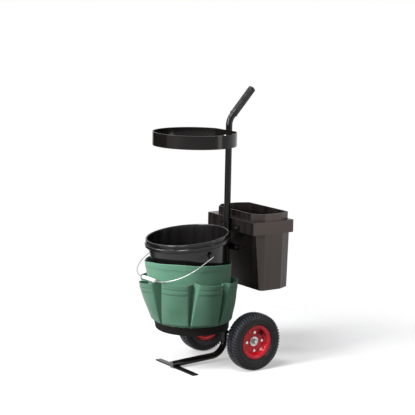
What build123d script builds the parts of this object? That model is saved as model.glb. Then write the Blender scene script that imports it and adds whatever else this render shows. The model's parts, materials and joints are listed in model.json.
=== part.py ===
"""Two-wheeled garden trolley.

One bent steel tube is the handle, the post and the foot. It carries a tool hoop, a bucket that
hangs in a pocketed bag, a bin behind the post, and an axle with two air-filled wheels.
Millimetres, +Z up, -Y to the front, origin on the floor under the middle of the whole trolley.
"""
import os
from math import atan2, cos, degrees, radians, sin, sqrt, tan

from build123d import *

os.makedirs("parts", exist_ok=True)

# Post tube: its corners are where the straight runs would cross
tube_d = 25.0
tube_wall = 2.0
handle_corner_z = 934.2
handle_lean = 42.0
handle_bend_r = 50.0
handle_len = 154.4
foot_bend_r = 60.0
foot_fall = 2.5
foot_reach = 243.0

# Foot bar across the end of the tube, and the plug in that end
bar_len = 256.0
bar_w = 25.0
bar_t = 5.0
bar_reach = 220.0
bar_seat = 0.8
plug_flange = 3.0
plug_spigot = 14.0
plug_bevel = 1.2

# Rubber handle grip
grip_len = 133.0
grip_d = 29.0
grip_end = 6.0
grip_bead_d = 30.4
grip_bead_len = 6.0
grip_flutes = 14
grip_flute_d = 3.4
grip_flute_depth = 0.8

# Tool hoop and its bolt
hoop_d = 316.0
hoop_h = 50.0
hoop_t = 3.0
hoop_set_back = 1.5
hoop_bend_r = 18.0
hoop_low_z = 847.0
hoop_bolt_d = 8.0

# Axle, let into a notch behind the post
axle_d = 12.0
axle_notch = 3.0
track = 330.0
collar_d = 20.0
collar_w = 7.0
axle_washer_d = 24.0
axle_washer_t = 2.0
axle_nut_af = 18.0
axle_nut_h = 8.0
axle_end = 3.0

# Air-filled wheels on split pressed rims
wheel_d = 220.0
tyre_w = 64.0
tyre_wall = 6.5
tread_r = 118.0
tread_slots = 48
tread_slot_w = 4.2
tread_slot_depth = 4.0
tread_slot_len = 17.0
tread_slot_lean = 18.0
tread_groove_w = 4.0
tread_groove_depth = 3.0
tread_groove_x = 8.0
rim_flange_d = 131.0
rim_seat_d = 102.0
rim_w = 46.0
rim_sheet = 2.0
rim_disc_d = 88.0
rim_dish_w = 12.0
rim_curl = 10.0
rim_round = 1.6
air_tube_d = 35.0
air_tube_wall = 2.0
hub_d = 36.0
hub_len = 30.0
hub_out = 6.5
hub_flange_d = 87.0
hub_flange_t = 4.0
bearing_d = 32.0
bearing_w = 10.0
bearing_shield = 0.8
bolt_circle = 70.0
rim_bolts = 4
rim_bolt_d = 6.0
rim_bolt_head = 4.2
valve_d = 7.0
valve_len = 15.0
valve_cap_d = 9.0
valve_cap_len = 8.0
valve_turn = -45.0

# Tapered bucket: its rear wall hangs plumb beside the post
bucket_rim_d = 316.0
bucket_base_d = 241.0
bucket_h = 280.0
bucket_wall = 3.0
bucket_lip = 3.0
bucket_bead_h = 11.0
bucket_groove = 1.5
bucket_ring_d = 324.0
bucket_ring_h = 13.0
bucket_ring_low = 30.0
bucket_ring_round = 2.0
bucket_rim_z = 510.5
bucket_gap = 16.0
bucket_foot_h = 6.0
ear_drop = 56.6
ear_d = 24.0
bucket_bolt_d = 8.0
bucket_bolt_high_z = 474.0
bucket_bolt_low_z = 300.0
spacer_d = 20.0
insert_d = 11.0
insert_flange_d = 15.0
insert_flange_t = 1.0
insert_len = 12.0

# Bail of the bucket
wire_d = 3.2
bail_half = 168.0
bail_reach = 199.0
bail_hang = 61.0
bail_foot_r = 8.0
bail_pin = 13.0
bail_grip_d = 14.0
bail_grip_len = 84.0

# Bag round the bucket, its rear line against the post
bag_top_d = 330.0
bag_top_z = 424.0
bag_low_d = 279.0
bag_low_z = 147.0
bag_band_h = 35.0
bag_t = 2.5
pocket_count = 7
pocket_pitch = 45.0
pocket_turn = 11.0
pocket_top_z = 345.0
pocket_foot_gap = 3.0
pocket_out = 23.5
pocket_foot_out = 10.0
pocket_bulge = 2.0
pocket_side = 4.5
pocket_foot_side = 2.0
pocket_t = 2.0

# Bin behind the post, with a square collar on an eight-sided body
bin_w = 300.0
bin_d = 190.0
bin_low_z = 292.0
bin_collar_low_z = 510.5
bin_collar_h = 48.5
bin_lip_h = 28.0
bin_lip_front = 19.0
bin_lip_side = 6.0
bin_lip_rear = 9.0
bin_neck_front = 32.0
bin_foot_front = 46.0
bin_side_start = 58.0
bin_wall = 3.0
bin_collar_wall = 2.6
bin_facet_x = 20.0
bin_facet_y = 45.0
bin_draft = 0.8
bin_foot_round = 4.0
strap_t = 3.0
strap_h = 24.0
strap_len = 122.0
bin_bolt_d = 6.0
bin_bolt_x = 90.0
bin_bolt_high_z = 526.0
bin_bolt_low_z = 451.0
bin_spacer_d = 14.0

# Clearances
seat_gap = 0.1
fit_gap = 0.2
hole_gap = 0.25
run_gap = 0.06
soft_gap = 0.3

# Shared radii and places, worked out from the sizes above
tube_r = tube_d / 2
axle_r = axle_d / 2
wire_r = wire_d / 2
wheel_r = wheel_d / 2
bucket_r = bucket_rim_d / 2 - bucket_lip
bucket_base_r = bucket_base_d / 2
bucket_tilt = degrees(atan2(bucket_r - bucket_base_r, bucket_h))
tilt_sin, tilt_cos = sin(radians(bucket_tilt)), cos(radians(bucket_tilt))
hang_sin, hang_cos = sin(radians(bail_hang)), cos(radians(bail_hang))

# Distances from the post's axis, forward or back
bucket_wall_reach = tube_r + bucket_gap
bucket_centre_reach = bucket_wall_reach + bucket_r * tilt_cos
ear_reach = bucket_centre_reach - ear_drop * tilt_sin
ear_z = bucket_rim_z - ear_drop * tilt_cos
front_reach = ear_reach + bail_reach * hang_sin + bail_grip_d / 2
rear_reach = tube_r + strap_t + bin_d
post_y = (front_reach - rear_reach) / 2
post_front_y = post_y - tube_r
post_rear_y = post_y + tube_r
axle_y = post_rear_y + axle_r - axle_notch
axle_z = wheel_r
ear_y = post_y - ear_reach
bar_y = post_y - bar_reach
hoop_y = post_y + hoop_set_back - hoop_d / 2
hoop_mid_z = hoop_low_z + hoop_h / 2
bin_front_y = post_rear_y + strap_t


def across_y(y, z=0.0, facing=1):
    """Plane square to Y, facing the rear (1) or the front (-1)."""
    return Plane(origin=(0, y, z), x_dir=(1, 0, 0), z_dir=(0, facing, 0))


def bag_r(z):
    """Outer radius of the bag's wall at a height."""
    share = (z - bag_low_z) / (bag_top_z - bag_low_z)
    return (bag_low_d + (bag_top_d - bag_low_d) * share) / 2


def bag_y(z):
    """Centre of the bag at a height: its rear line stays against the post."""
    return post_front_y - soft_gap - bag_r(z)


def bag_point(azimuth, out, z):
    """Point beside the bag's wall: azimuth 0 is the front and turns towards +X."""
    turn = radians(azimuth)
    reach = bag_r(z) + out
    return (reach * sin(turn), bag_y(z) - reach * cos(turn))


def hexagon(across_flats):
    """Six-sided bolt head or nut."""
    RegularPolygon(across_flats / 2, 6, major_radius=False)


# Post tube: foot, post and handle in one bent length
foot_slope = tan(radians(foot_fall))
foot_bar_z = bar_t + tube_r / cos(radians(foot_fall)) - bar_seat
foot_end = (post_y - foot_reach, foot_bar_z - (foot_reach - bar_reach) * foot_slope)
foot_corner = (post_y, foot_bar_z + bar_reach * foot_slope)
handle_corner = (post_y, handle_corner_z)
handle_end = (
    post_y + handle_len * sin(radians(handle_lean)),
    handle_corner_z + handle_len * cos(radians(handle_lean)),
)
with BuildPart() as spine_tube:
    with BuildLine(Plane.YZ) as spine_path:
        FilletPolyline(foot_end, foot_corner, handle_corner, handle_end, radius=[foot_bend_r, handle_bend_r])
    with BuildSketch(Plane(origin=spine_path.line @ 0, z_dir=spine_path.line % 0)):
        Circle(tube_r)
        Circle(tube_r - tube_wall, mode=Mode.SUBTRACT)
    sweep()
    # Seat of the foot bar
    with BuildSketch(Plane.XY):
        with Locations((0, bar_y)):
            Rectangle(bar_len, bar_w)
    extrude(amount=bar_t, mode=Mode.SUBTRACT)
    # Notch of the axle
    with BuildSketch(Plane.YZ):
        with Locations((axle_y, axle_z)):
            Circle(axle_r + seat_gap)
    extrude(amount=tube_d, both=True, mode=Mode.SUBTRACT)
    # Through hole of the hoop's bolt
    with BuildSketch(across_y(post_y, hoop_mid_z)):
        Circle(hoop_bolt_d / 2 + hole_gap)
    extrude(amount=tube_d, both=True, mode=Mode.SUBTRACT)
    # Holes of the two threaded inserts that take the bucket's bolts
    for bolt_z in (bucket_bolt_high_z, bucket_bolt_low_z):
        with BuildSketch(across_y(post_y, bolt_z, -1)):
            Circle(insert_d / 2 + seat_gap)
        extrude(amount=tube_d, mode=Mode.SUBTRACT)
spine_tube.part.label = "spine_tube"
export_step(spine_tube.part, "parts/spine_tube.step")

# Flat bar that the trolley stands on in front
with BuildPart() as foot_bar:
    with BuildSketch(Plane.XY):
        with Locations((0, bar_y)):
            Rectangle(bar_len, bar_w)
    extrude(amount=bar_t)
    chamfer(foot_bar.faces().sort_by(Axis.Z)[-1].edges(), bar_t / 6)
foot_bar.part.label = "foot_bar"
export_step(foot_bar.part, "parts/foot_bar.step")

# Plug in the open end of the foot tube
with BuildPart() as foot_plug:
    with BuildSketch(Plane(origin=spine_path.line @ 0, z_dir=-(spine_path.line % 0))) as plug_disc:
        Circle(tube_r)
    extrude(amount=plug_flange)
    chamfer(foot_plug.faces().sort_by(Axis.Y)[0].edges(), plug_bevel)
    with BuildSketch(Plane(origin=spine_path.line @ 0, z_dir=spine_path.line % 0)):
        Circle(tube_r - tube_wall - fit_gap)
        Circle(tube_r - 2 * tube_wall - fit_gap, mode=Mode.SUBTRACT)
    extrude(amount=plug_spigot)
foot_plug.part.label = "foot_plug"
export_step(foot_plug.part, "parts/foot_plug.step")

# Grip: a fluted sleeve with a domed end and a bead at its lower end
grip_r = grip_d / 2
grip_plane = Plane(origin=spine_path.line @ 1, x_dir=(1, 0, 0), z_dir=spine_path.line % 1)
grip_section = Plane(origin=grip_plane.origin, x_dir=grip_plane.x_dir, z_dir=-grip_plane.y_dir)
grip_low = grip_end - grip_len
dome_r = (grip_r**2 + grip_end**2) / (2 * grip_end)
dome_mid_r = grip_r / 2
dome_mid_z = grip_end - dome_r + sqrt(dome_r**2 - dome_mid_r**2)
with BuildPart() as handle_grip:
    with BuildSketch(grip_section):
        with BuildLine():
            Polyline(
                (0, grip_end),
                (0, fit_gap),
                (tube_r + seat_gap, fit_gap),
                (tube_r + seat_gap, grip_low),
                (grip_bead_d / 2, grip_low),
                (grip_bead_d / 2, grip_low + grip_bead_len),
                (grip_r, grip_low + grip_bead_len + (grip_bead_d / 2 - grip_r)),
                (grip_r, 0),
            )
            ThreePointArc((grip_r, 0), (dome_mid_r, dome_mid_z), (0, grip_end))
        make_face()
    revolve(axis=Axis(grip_plane.origin, grip_plane.z_dir))
    with BuildSketch(grip_plane.offset(-grip_end)):
        with PolarLocations(grip_r + grip_flute_d / 2 - grip_flute_depth, grip_flutes):
            Circle(grip_flute_d / 2)
    extrude(amount=-(grip_len - 2 * grip_end - 3 * grip_bead_len), mode=Mode.SUBTRACT)
handle_grip.part.label = "handle_grip"
export_step(handle_grip.part, "parts/handle_grip.step")

# Tool hoop: a strip bent to a ring, with a flat that lies on the front of the post
with BuildPart() as tool_hoop:
    for thin, mode in ((0, Mode.ADD), (hoop_t, Mode.SUBTRACT)):
        with BuildSketch(Plane.XY.offset(hoop_low_z)) as ring:
            with Locations((0, hoop_y)):
                Circle(hoop_d / 2 - thin)
            with Locations((0, post_front_y - seat_gap - thin)):
                Rectangle(hoop_d, hoop_d, align=(Align.CENTER, Align.MIN), mode=Mode.SUBTRACT)
            fillet(ring.vertices().sort_by(Axis.Y)[-2:], hoop_bend_r - thin)
        extrude(amount=hoop_h, mode=mode)
    with BuildSketch(across_y(hoop_y, hoop_mid_z)):
        Circle(hoop_bolt_d / 2 + hole_gap)
    extrude(amount=hoop_d, mode=Mode.SUBTRACT)
tool_hoop.part.label = "tool_hoop"
export_step(tool_hoop.part, "parts/tool_hoop.step")

# Bolt of the hoop: round head inside the ring, washer and nut behind the post
hoop_head_r = 0.9 * hoop_bolt_d
hoop_inner_y = post_front_y - seat_gap - hoop_t
nut_h = 0.8 * hoop_bolt_d
washer_t = 0.2 * hoop_bolt_d
with BuildPart() as hoop_bolt:
    with BuildSketch(across_y(hoop_inner_y - seat_gap, hoop_mid_z, -1)):
        Circle(hoop_head_r)
    extrude(amount=0.6 * hoop_bolt_d)
    fillet(hoop_bolt.faces().sort_by(Axis.Y)[0].edges(), 0.35 * hoop_bolt_d)
    with BuildSketch(across_y(hoop_inner_y - seat_gap, hoop_mid_z)):
        Circle(hoop_bolt_d / 2)
    extrude(amount=post_rear_y - hoop_inner_y + washer_t + 1.3 * nut_h)
hoop_bolt.part.label = "hoop_bolt"
export_step(hoop_bolt.part, "parts/hoop_bolt.step")

with BuildPart() as hoop_nut:
    with BuildSketch(across_y(post_rear_y + seat_gap, hoop_mid_z)):
        Circle(hoop_bolt_d)
        Circle(hoop_bolt_d / 2 + seat_gap, mode=Mode.SUBTRACT)
    extrude(amount=washer_t)
    with BuildSketch(across_y(post_rear_y + seat_gap + washer_t, hoop_mid_z)):
        hexagon(1.6 * hoop_bolt_d)
        Circle(hoop_bolt_d / 2 + seat_gap, mode=Mode.SUBTRACT)
    extrude(amount=nut_h)
hoop_nut.part.label = "hoop_nut"
export_step(hoop_nut.part, "parts/hoop_nut.step")

# Axle rod with its collars, washers and nuts, the same on both sides
hub_in = hub_len - hub_out
wheel_x = track / 2
outer_x = wheel_x + hub_out + fit_gap
inner_x = wheel_x - hub_in - fit_gap
axle_half = outer_x + axle_washer_t + axle_nut_h + axle_end
with BuildPart() as axle:
    with BuildSketch(Plane.YZ):
        with Locations((axle_y, axle_z)):
            Circle(axle_r)
    extrude(amount=axle_half, both=True)
    chamfer(axle.faces().filter_by(Axis.X).edges(), axle_end / 3)
axle.part.label = "axle"
export_step(axle.part, "parts/axle.step")


with BuildPart() as axle_collars:
    for sign in (1, -1):
        collar_x = sign * (inner_x - axle_washer_t)
        with BuildSketch(Plane(origin=(collar_x, axle_y, axle_z), z_dir=(-sign, 0, 0))):
            Circle(collar_d / 2)
            Circle(axle_r + seat_gap, mode=Mode.SUBTRACT)
        extrude(amount=collar_w)
axle_collars.part.label = "axle_collars"
export_step(axle_collars.part, "parts/axle_collars.step")

with BuildPart() as axle_washers:
    for washer_x, facing in ((inner_x, -1), (outer_x, 1), (-inner_x, 1), (-outer_x, -1)):
        with BuildSketch(Plane(origin=(washer_x, axle_y, axle_z), z_dir=(facing, 0, 0))):
            Circle(axle_washer_d / 2)
            Circle(axle_r + seat_gap, mode=Mode.SUBTRACT)
        extrude(amount=axle_washer_t)
axle_washers.part.label = "axle_washers"
export_step(axle_washers.part, "parts/axle_washers.step")

with BuildPart() as axle_nuts:
    for sign in (1, -1):
        nut_x = sign * (outer_x + axle_washer_t)
        with BuildSketch(Plane(origin=(nut_x, axle_y, axle_z), z_dir=(sign, 0, 0))):
            hexagon(axle_nut_af)
            Circle(axle_r + seat_gap, mode=Mode.SUBTRACT)
        extrude(amount=axle_nut_h)
axle_nuts.part.label = "axle_nuts"
export_step(axle_nuts.part, "parts/axle_nuts.step")

# Wheels: in each section the first number is the radius, the second the distance outboard
rim_half = rim_w / 2
rim_seat_r = rim_seat_d / 2
rim_flange_r = rim_flange_d / 2
rim_disc_r = rim_disc_d / 2
disc_in = hub_flange_t / 2 + seat_gap / 2
disc_out = disc_in + rim_sheet
bead_half = rim_half - rim_sheet - fit_gap
bead_r = rim_seat_r + fit_gap
tyre_half = tyre_w / 2
shoulder_x = 0.8 * tyre_half
shoulder_r = wheel_r - (tread_r - sqrt(tread_r**2 - shoulder_x**2))
bulge_r = (rim_flange_r + shoulder_r) / 2
bead_top_r = rim_flange_r + fit_gap
cavity_low_r = rim_flange_r - rim_sheet
cavity_top_r = wheel_r - tyre_wall - tread_slot_depth
air_tube_r = (cavity_low_r + cavity_top_r) / 2
curl_x = rim_half - rim_curl
curl_r = rim_seat_r - rim_sheet + rim_curl
bead_curl = rim_curl - rim_sheet - fit_gap
bead_toe = curl_x - rim_curl / 2
valve_r = (rim_disc_r + rim_seat_r - rim_sheet) / 2
dish_run = rim_seat_r - rim_disc_r
dish_len = sqrt(dish_run**2 + (rim_dish_w - disc_out) ** 2)
valve_in, valve_out = (rim_dish_w - disc_out) / dish_len, dish_run / dish_len
valve_x = (disc_out + rim_dish_w - rim_sheet) / 2
valve_root = (air_tube_r - air_tube_d / 2 - valve_r) / valve_in + valve_d / 2


def rim_outline(flip):
    """Section of one pressed half: flat disc, sloping dish, bead seat and flange, before it is rounded."""
    return (
        (hub_d / 2 + seat_gap, flip * disc_in),
        (rim_disc_r, flip * disc_in),
        (rim_seat_r, flip * (rim_dish_w - rim_sheet)),
        (rim_seat_r, flip * (rim_half - rim_sheet)),
        (rim_flange_r, flip * (rim_half - rim_sheet)),
        (rim_flange_r, flip * rim_half),
        (rim_seat_r - rim_sheet, flip * rim_half),
        (rim_seat_r - rim_sheet, flip * rim_dish_w),
        (rim_disc_r - rim_sheet / 2, flip * disc_out),
        (hub_d / 2 + seat_gap, flip * disc_out),
    )


def rim_corners(flip):
    """Corners of the section to be rounded, each with its radius: both sides of the curl, then the rest."""
    outline = rim_outline(flip)
    small = rim_round / 2
    return (
        (outline[3], rim_curl - rim_sheet),
        (outline[6], rim_curl),
        (outline[1], small),
        (outline[2], small),
        (outline[4], small),
        (outline[5], small),
        (outline[7], small),
        (outline[8], small),
    )


for side, sign in (("right", 1), ("left", -1)):
    centre = (sign * wheel_x, axle_y, axle_z)
    section = Plane(origin=centre, x_dir=(0, 0, 1), z_dir=(0, sign, 0))
    face_on = Plane(origin=centre, x_dir=(0, 0, 1), z_dir=(sign, 0, 0))
    spin = Axis(centre, (sign, 0, 0))

    # Tyre: open carcass with bulging walls, grooves round the tread and slots in its shoulders
    with BuildPart() as tyre:
        with BuildSketch(section):
            with BuildLine():
                for flip in (1, -1):
                    Line((bead_r, flip * bead_toe), (bead_r, flip * curl_x))
                    ThreePointArc(
                        (bead_r, flip * curl_x),
                        (curl_r - bead_curl * sqrt(0.5), flip * (curl_x + bead_curl * sqrt(0.5))),
                        (curl_r, flip * bead_half),
                    )
                    Line((curl_r, flip * bead_half), (bead_top_r, flip * bead_half))
                    ThreePointArc(
                        (bead_top_r, flip * bead_half),
                        (bulge_r, flip * tyre_half),
                        (shoulder_r, flip * shoulder_x),
                    )
                    Line((bead_r, flip * bead_toe), (cavity_low_r, flip * (bead_half - tyre_wall)))
                    ThreePointArc(
                        (cavity_low_r, flip * (bead_half - tyre_wall)),
                        (air_tube_r, flip * (tyre_half - tyre_wall)),
                        (cavity_top_r, 0),
                    )
                ThreePointArc((shoulder_r, -shoulder_x), (wheel_r, 0), (shoulder_r, shoulder_x))
            make_face()
        revolve(axis=spin)
        for groove_x in (tread_groove_x, -tread_groove_x):
            with BuildSketch(face_on.offset(groove_x - tread_groove_w / 2)):
                Circle(wheel_r + tread_groove_depth)
                Circle(wheel_r - tread_groove_depth, mode=Mode.SUBTRACT)
            extrude(amount=tread_groove_w, mode=Mode.SUBTRACT)
        slot_x = shoulder_x + tread_slot_depth - tread_slot_len / 2
        for flip in (1, -1):
            with Locations(face_on.offset(flip * slot_x)):
                with PolarLocations(shoulder_r, tread_slots, start_angle=(1 - flip) * 90 / tread_slots):
                    Box(
                        2 * tread_slot_depth,
                        tread_slot_w,
                        tread_slot_len,
                        rotation=(flip * tread_slot_lean, 0, 0),
                        mode=Mode.SUBTRACT,
                    )
    tyre.part.label = f"{side}_tyre"
    export_step(tyre.part, f"parts/{side}_tyre.step")

    # Air tube inside the tyre
    with BuildPart() as air_tube:
        with BuildSketch(section):
            with Locations((air_tube_r, 0)):
                Circle(air_tube_d / 2)
                Circle(air_tube_d / 2 - air_tube_wall, mode=Mode.SUBTRACT)
        revolve(axis=spin)
    air_tube.part.label = f"{side}_air_tube"
    export_step(air_tube.part, f"parts/{side}_air_tube.step")

    # Pressed rim halves, bolted face to face on the hub's flange
    with BuildPart() as rim_outer:
        with BuildSketch(section) as rim_face:
            with BuildLine():
                Polyline(*rim_outline(1), close=True)
            make_face()
            for corner, radius in rim_corners(1):
                fillet(rim_face.vertices().sort_by_distance(corner)[0], radius)
        revolve(axis=spin)
        with Locations(face_on):
            with PolarLocations(bolt_circle / 2, rim_bolts):
                Hole(rim_bolt_d / 2 + hole_gap)
            with PolarLocations(0, 1, start_angle=valve_turn):
                with Locations((valve_r, 0, valve_x)):
                    Cylinder(
                        valve_d / 2 + hole_gap,
                        3 * valve_d,
                        rotation=(0, -degrees(atan2(valve_in, valve_out)), 0),
                        mode=Mode.SUBTRACT,
                    )
    rim_outer.part.label = f"{side}_rim_outer"
    export_step(rim_outer.part, f"parts/{side}_rim_outer.step")

    with BuildPart() as rim_inner:
        with BuildSketch(section) as rim_face:
            with BuildLine():
                Polyline(*rim_outline(-1), close=True)
            make_face()
            for corner, radius in rim_corners(-1):
                fillet(rim_face.vertices().sort_by_distance(corner)[0], radius)
        revolve(axis=spin)
        with Locations(face_on):
            with PolarLocations(bolt_circle / 2, rim_bolts):
                Hole(rim_bolt_d / 2 + hole_gap)
    rim_inner.part.label = f"{side}_rim_inner"
    export_step(rim_inner.part, f"parts/{side}_rim_inner.step")

    # Hub: barrel with a bolting flange and a bearing seat in each end
    with BuildPart() as hub:
        with BuildSketch(face_on.offset(-hub_in)):
            Circle(hub_d / 2)
        extrude(amount=hub_len)
        with BuildSketch(face_on.offset(-hub_flange_t / 2)):
            Circle(hub_flange_d / 2)
        extrude(amount=hub_flange_t)
        with Locations(face_on):
            Hole(axle_r + tube_wall)
            with PolarLocations(bolt_circle / 2, rim_bolts):
                Hole(rim_bolt_d / 2 + hole_gap)
        for end_x, flip in ((hub_out, 1), (-hub_in, -1)):
            with BuildSketch(face_on.offset(end_x)):
                Circle(bearing_d / 2 + seat_gap / 2)
            extrude(amount=-flip * bearing_w, mode=Mode.SUBTRACT)
    hub.part.label = f"{side}_hub"
    export_step(hub.part, f"parts/{side}_hub.step")

    # Two ball bearings with sunk shields
    with BuildPart() as bearings:
        for end_x, flip in ((hub_out, 1), (-hub_in, -1)):
            with BuildSketch(face_on.offset(end_x)):
                Circle(bearing_d / 2)
                Circle(axle_r + run_gap, mode=Mode.SUBTRACT)
            extrude(amount=-flip * bearing_w)
            with BuildSketch(face_on.offset(end_x)):
                Circle(0.86 * bearing_d / 2)
                Circle(0.6 * bearing_d / 2, mode=Mode.SUBTRACT)
            extrude(amount=-flip * bearing_shield, mode=Mode.SUBTRACT)
    bearings.part.label = f"{side}_bearings"
    export_step(bearings.part, f"parts/{side}_bearings.step")

    # Bolts through both rim halves, with their nuts inboard
    rim_nut_h = 0.8 * rim_bolt_d
    with BuildPart() as bolts:
        with BuildSketch(face_on.offset(disc_out + seat_gap)):
            with PolarLocations(bolt_circle / 2, rim_bolts):
                hexagon(1.6 * rim_bolt_d)
        extrude(amount=rim_bolt_head)
        with BuildSketch(face_on.offset(disc_out + seat_gap)):
            with PolarLocations(bolt_circle / 2, rim_bolts):
                Circle(rim_bolt_d / 2)
        extrude(amount=-(2 * disc_out + 1.3 * rim_nut_h))
    bolts.part.label = f"{side}_rim_bolts"
    export_step(bolts.part, f"parts/{side}_rim_bolts.step")

    with BuildPart() as nuts:
        with BuildSketch(face_on.offset(-disc_out - seat_gap)):
            with PolarLocations(bolt_circle / 2, rim_bolts):
                hexagon(1.6 * rim_bolt_d)
                Circle(rim_bolt_d / 2 + seat_gap, mode=Mode.SUBTRACT)
        extrude(amount=-rim_nut_h)
    nuts.part.label = f"{side}_rim_nuts"
    export_step(nuts.part, f"parts/{side}_rim_nuts.step")

    # Valve: from the air tube through the dish, with its cap
    with BuildPart() as valve:
        with Locations(face_on):
            with PolarLocations(0, 1, start_angle=valve_turn):
                with Locations((valve_r, 0, valve_x)):
                    with Locations(Rotation(0, -degrees(atan2(valve_in, valve_out)), 0)):
                        with Locations((0, 0, -valve_root)):
                            Cylinder(
                                valve_d / 2,
                                valve_root + valve_len,
                                align=(Align.CENTER, Align.CENTER, Align.MIN),
                            )
                        with Locations((0, 0, valve_len - valve_cap_len)):
                            Cylinder(
                                valve_cap_d / 2,
                                valve_cap_len,
                                align=(Align.CENTER, Align.CENTER, Align.MIN),
                            )
        with BuildSketch(section):
            with Locations((air_tube_r, 0)):
                Circle(air_tube_d / 2 + seat_gap)
        revolve(axis=spin, mode=Mode.SUBTRACT)
    valve.part.label = f"{side}_valve"
    export_step(valve.part, f"parts/{side}_valve.step")

# Bucket: tapered wall, rolled lip and two ears, in its own tilted frame
bucket_origin = (0, post_y - bucket_centre_reach, bucket_rim_z)
bucket_up = (0, -tilt_sin, tilt_cos)
bucket_plane = Plane(origin=bucket_origin, x_dir=(1, 0, 0), z_dir=bucket_up)
bucket_section = Plane(origin=bucket_origin, x_dir=(1, 0, 0), z_dir=(0, -tilt_cos, -tilt_sin))
lip_r = bucket_rim_d / 2
ring_r = bucket_ring_d / 2
ring_top = bucket_ring_h - bucket_ring_low
lip_crown = (bucket_lip + bucket_wall) / 2
taper = tan(radians(bucket_tilt))
lip_inner_r = bucket_r - bucket_wall - lip_crown * taper
floor_r = bucket_base_r - bucket_wall + bucket_wall * taper
ear_end_x = bail_half - bail_foot_r - soft_gap
with BuildPart() as bucket:
    with BuildSketch(bucket_section):
        with BuildLine():
            Polyline(
                (lip_inner_r, -lip_crown),
                (floor_r, bucket_wall - bucket_h),
                (0, bucket_wall - bucket_h),
                (0, -bucket_h + bucket_foot_h / 3),
                (bucket_base_r - bucket_foot_h, -bucket_h + bucket_foot_h / 3),
                (bucket_base_r - bucket_foot_h, -bucket_h),
                (bucket_base_r, -bucket_h),
                (bucket_r - bucket_ring_low * taper, -bucket_ring_low),
                (ring_r - bucket_ring_round, -bucket_ring_low),
                (ring_r, bucket_ring_round - bucket_ring_low),
                (ring_r, ring_top - bucket_ring_round),
                (ring_r - bucket_ring_round, ring_top),
                (bucket_r - bucket_groove, ring_top),
                (bucket_r - bucket_groove, -bucket_bead_h),
                (lip_r - bucket_groove, -bucket_bead_h),
                (lip_r, bucket_groove - bucket_bead_h),
                (lip_r, -lip_crown),
            )
            ThreePointArc(
                (lip_r, -lip_crown),
                ((lip_r + lip_inner_r) / 2, 0),
                (lip_inner_r, -lip_crown),
            )
        make_face()
    revolve(axis=Axis(bucket_origin, bucket_up))
    # Ears that hold the bail, blind-bored from outside
    ear_wall_r = bucket_r - ear_drop * taper - bucket_wall / 2
    for sign in (1, -1):
        ear_plane = Plane(origin=(sign * ear_end_x, ear_y, ear_z), z_dir=(sign, 0, 0))
        with BuildSketch(ear_plane):
            Circle(ear_d / 2)
        extrude(amount=-(ear_end_x - ear_wall_r * cos(radians(bucket_tilt / 2))))
    with BuildSketch(bucket_plane.offset(-bucket_ring_low)):
        Circle(bucket_r - bucket_wall - bucket_ring_low * taper)
    with BuildSketch(bucket_plane.offset(bucket_wall - bucket_h)):
        Circle(floor_r)
    loft(ruled=True, mode=Mode.SUBTRACT)
    for sign in (1, -1):
        with BuildSketch(Plane(origin=(sign * ear_end_x, ear_y, ear_z), z_dir=(sign, 0, 0))):
            Circle(wire_r + run_gap)
        extrude(amount=-bail_pin, mode=Mode.SUBTRACT)
    # Holes of the two bolts through the rear wall
    for bolt_z in (bucket_bolt_high_z, bucket_bolt_low_z):
        with BuildSketch(across_y(post_y - bucket_wall_reach - 3 * bucket_wall, bolt_z)):
            Circle(bucket_bolt_d / 2 + hole_gap)
        extrude(amount=6 * bucket_wall, mode=Mode.SUBTRACT)
bucket.part.label = "bucket"
export_step(bucket.part, "parts/bucket.step")

# Bolts inside the bucket's rear wall, their spacers, and the threaded inserts in the post
bucket_inner_y = post_y - bucket_wall_reach - bucket_wall * tilt_cos
head_seat_y = bucket_inner_y - bucket_bolt_d**2 / (2 * floor_r) - fit_gap
head_washer_t = 0.2 * bucket_bolt_d
with BuildPart() as bucket_bolts:
    for bolt_z in (bucket_bolt_high_z, bucket_bolt_low_z):
        with BuildSketch(across_y(head_seat_y, bolt_z, -1)):
            Circle(bucket_bolt_d)
        extrude(amount=head_washer_t)
        with BuildSketch(across_y(head_seat_y - head_washer_t, bolt_z, -1)):
            hexagon(1.6 * bucket_bolt_d)
        extrude(amount=0.65 * bucket_bolt_d)
        with BuildSketch(across_y(head_seat_y, bolt_z)):
            Circle(bucket_bolt_d / 2)
        extrude(amount=post_front_y + insert_len - head_seat_y)
bucket_bolts.part.label = "bucket_bolts"
export_step(bucket_bolts.part, "parts/bucket_bolts.step")

insert_front_y = post_front_y - seat_gap - insert_flange_t
with BuildPart() as post_inserts:
    for bolt_z in (bucket_bolt_high_z, bucket_bolt_low_z):
        with BuildSketch(across_y(insert_front_y, bolt_z)):
            Circle(insert_flange_d / 2)
            Circle(bucket_bolt_d / 2 + seat_gap, mode=Mode.SUBTRACT)
        extrude(amount=insert_flange_t)
        with BuildSketch(across_y(insert_front_y, bolt_z)):
            Circle(insert_d / 2)
            Circle(bucket_bolt_d / 2 + seat_gap, mode=Mode.SUBTRACT)
        extrude(amount=insert_len)
post_inserts.part.label = "post_inserts"
export_step(post_inserts.part, "parts/post_inserts.step")

spacer_front_y = post_y - bucket_wall_reach + fit_gap
spacer_rears = (
    (bucket_bolt_high_z, insert_front_y - seat_gap),
    (bucket_bolt_low_z, post_front_y - 2 * soft_gap - bag_t),
)
with BuildPart() as bucket_spacers:
    for bolt_z, rear_y in spacer_rears:
        with BuildSketch(across_y(spacer_front_y, bolt_z)):
            Circle(spacer_d / 2)
            Circle(bucket_bolt_d / 2 + hole_gap, mode=Mode.SUBTRACT)
        extrude(amount=rear_y - spacer_front_y)
bucket_spacers.part.label = "bucket_spacers"
export_step(bucket_spacers.part, "parts/bucket_spacers.step")

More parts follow.
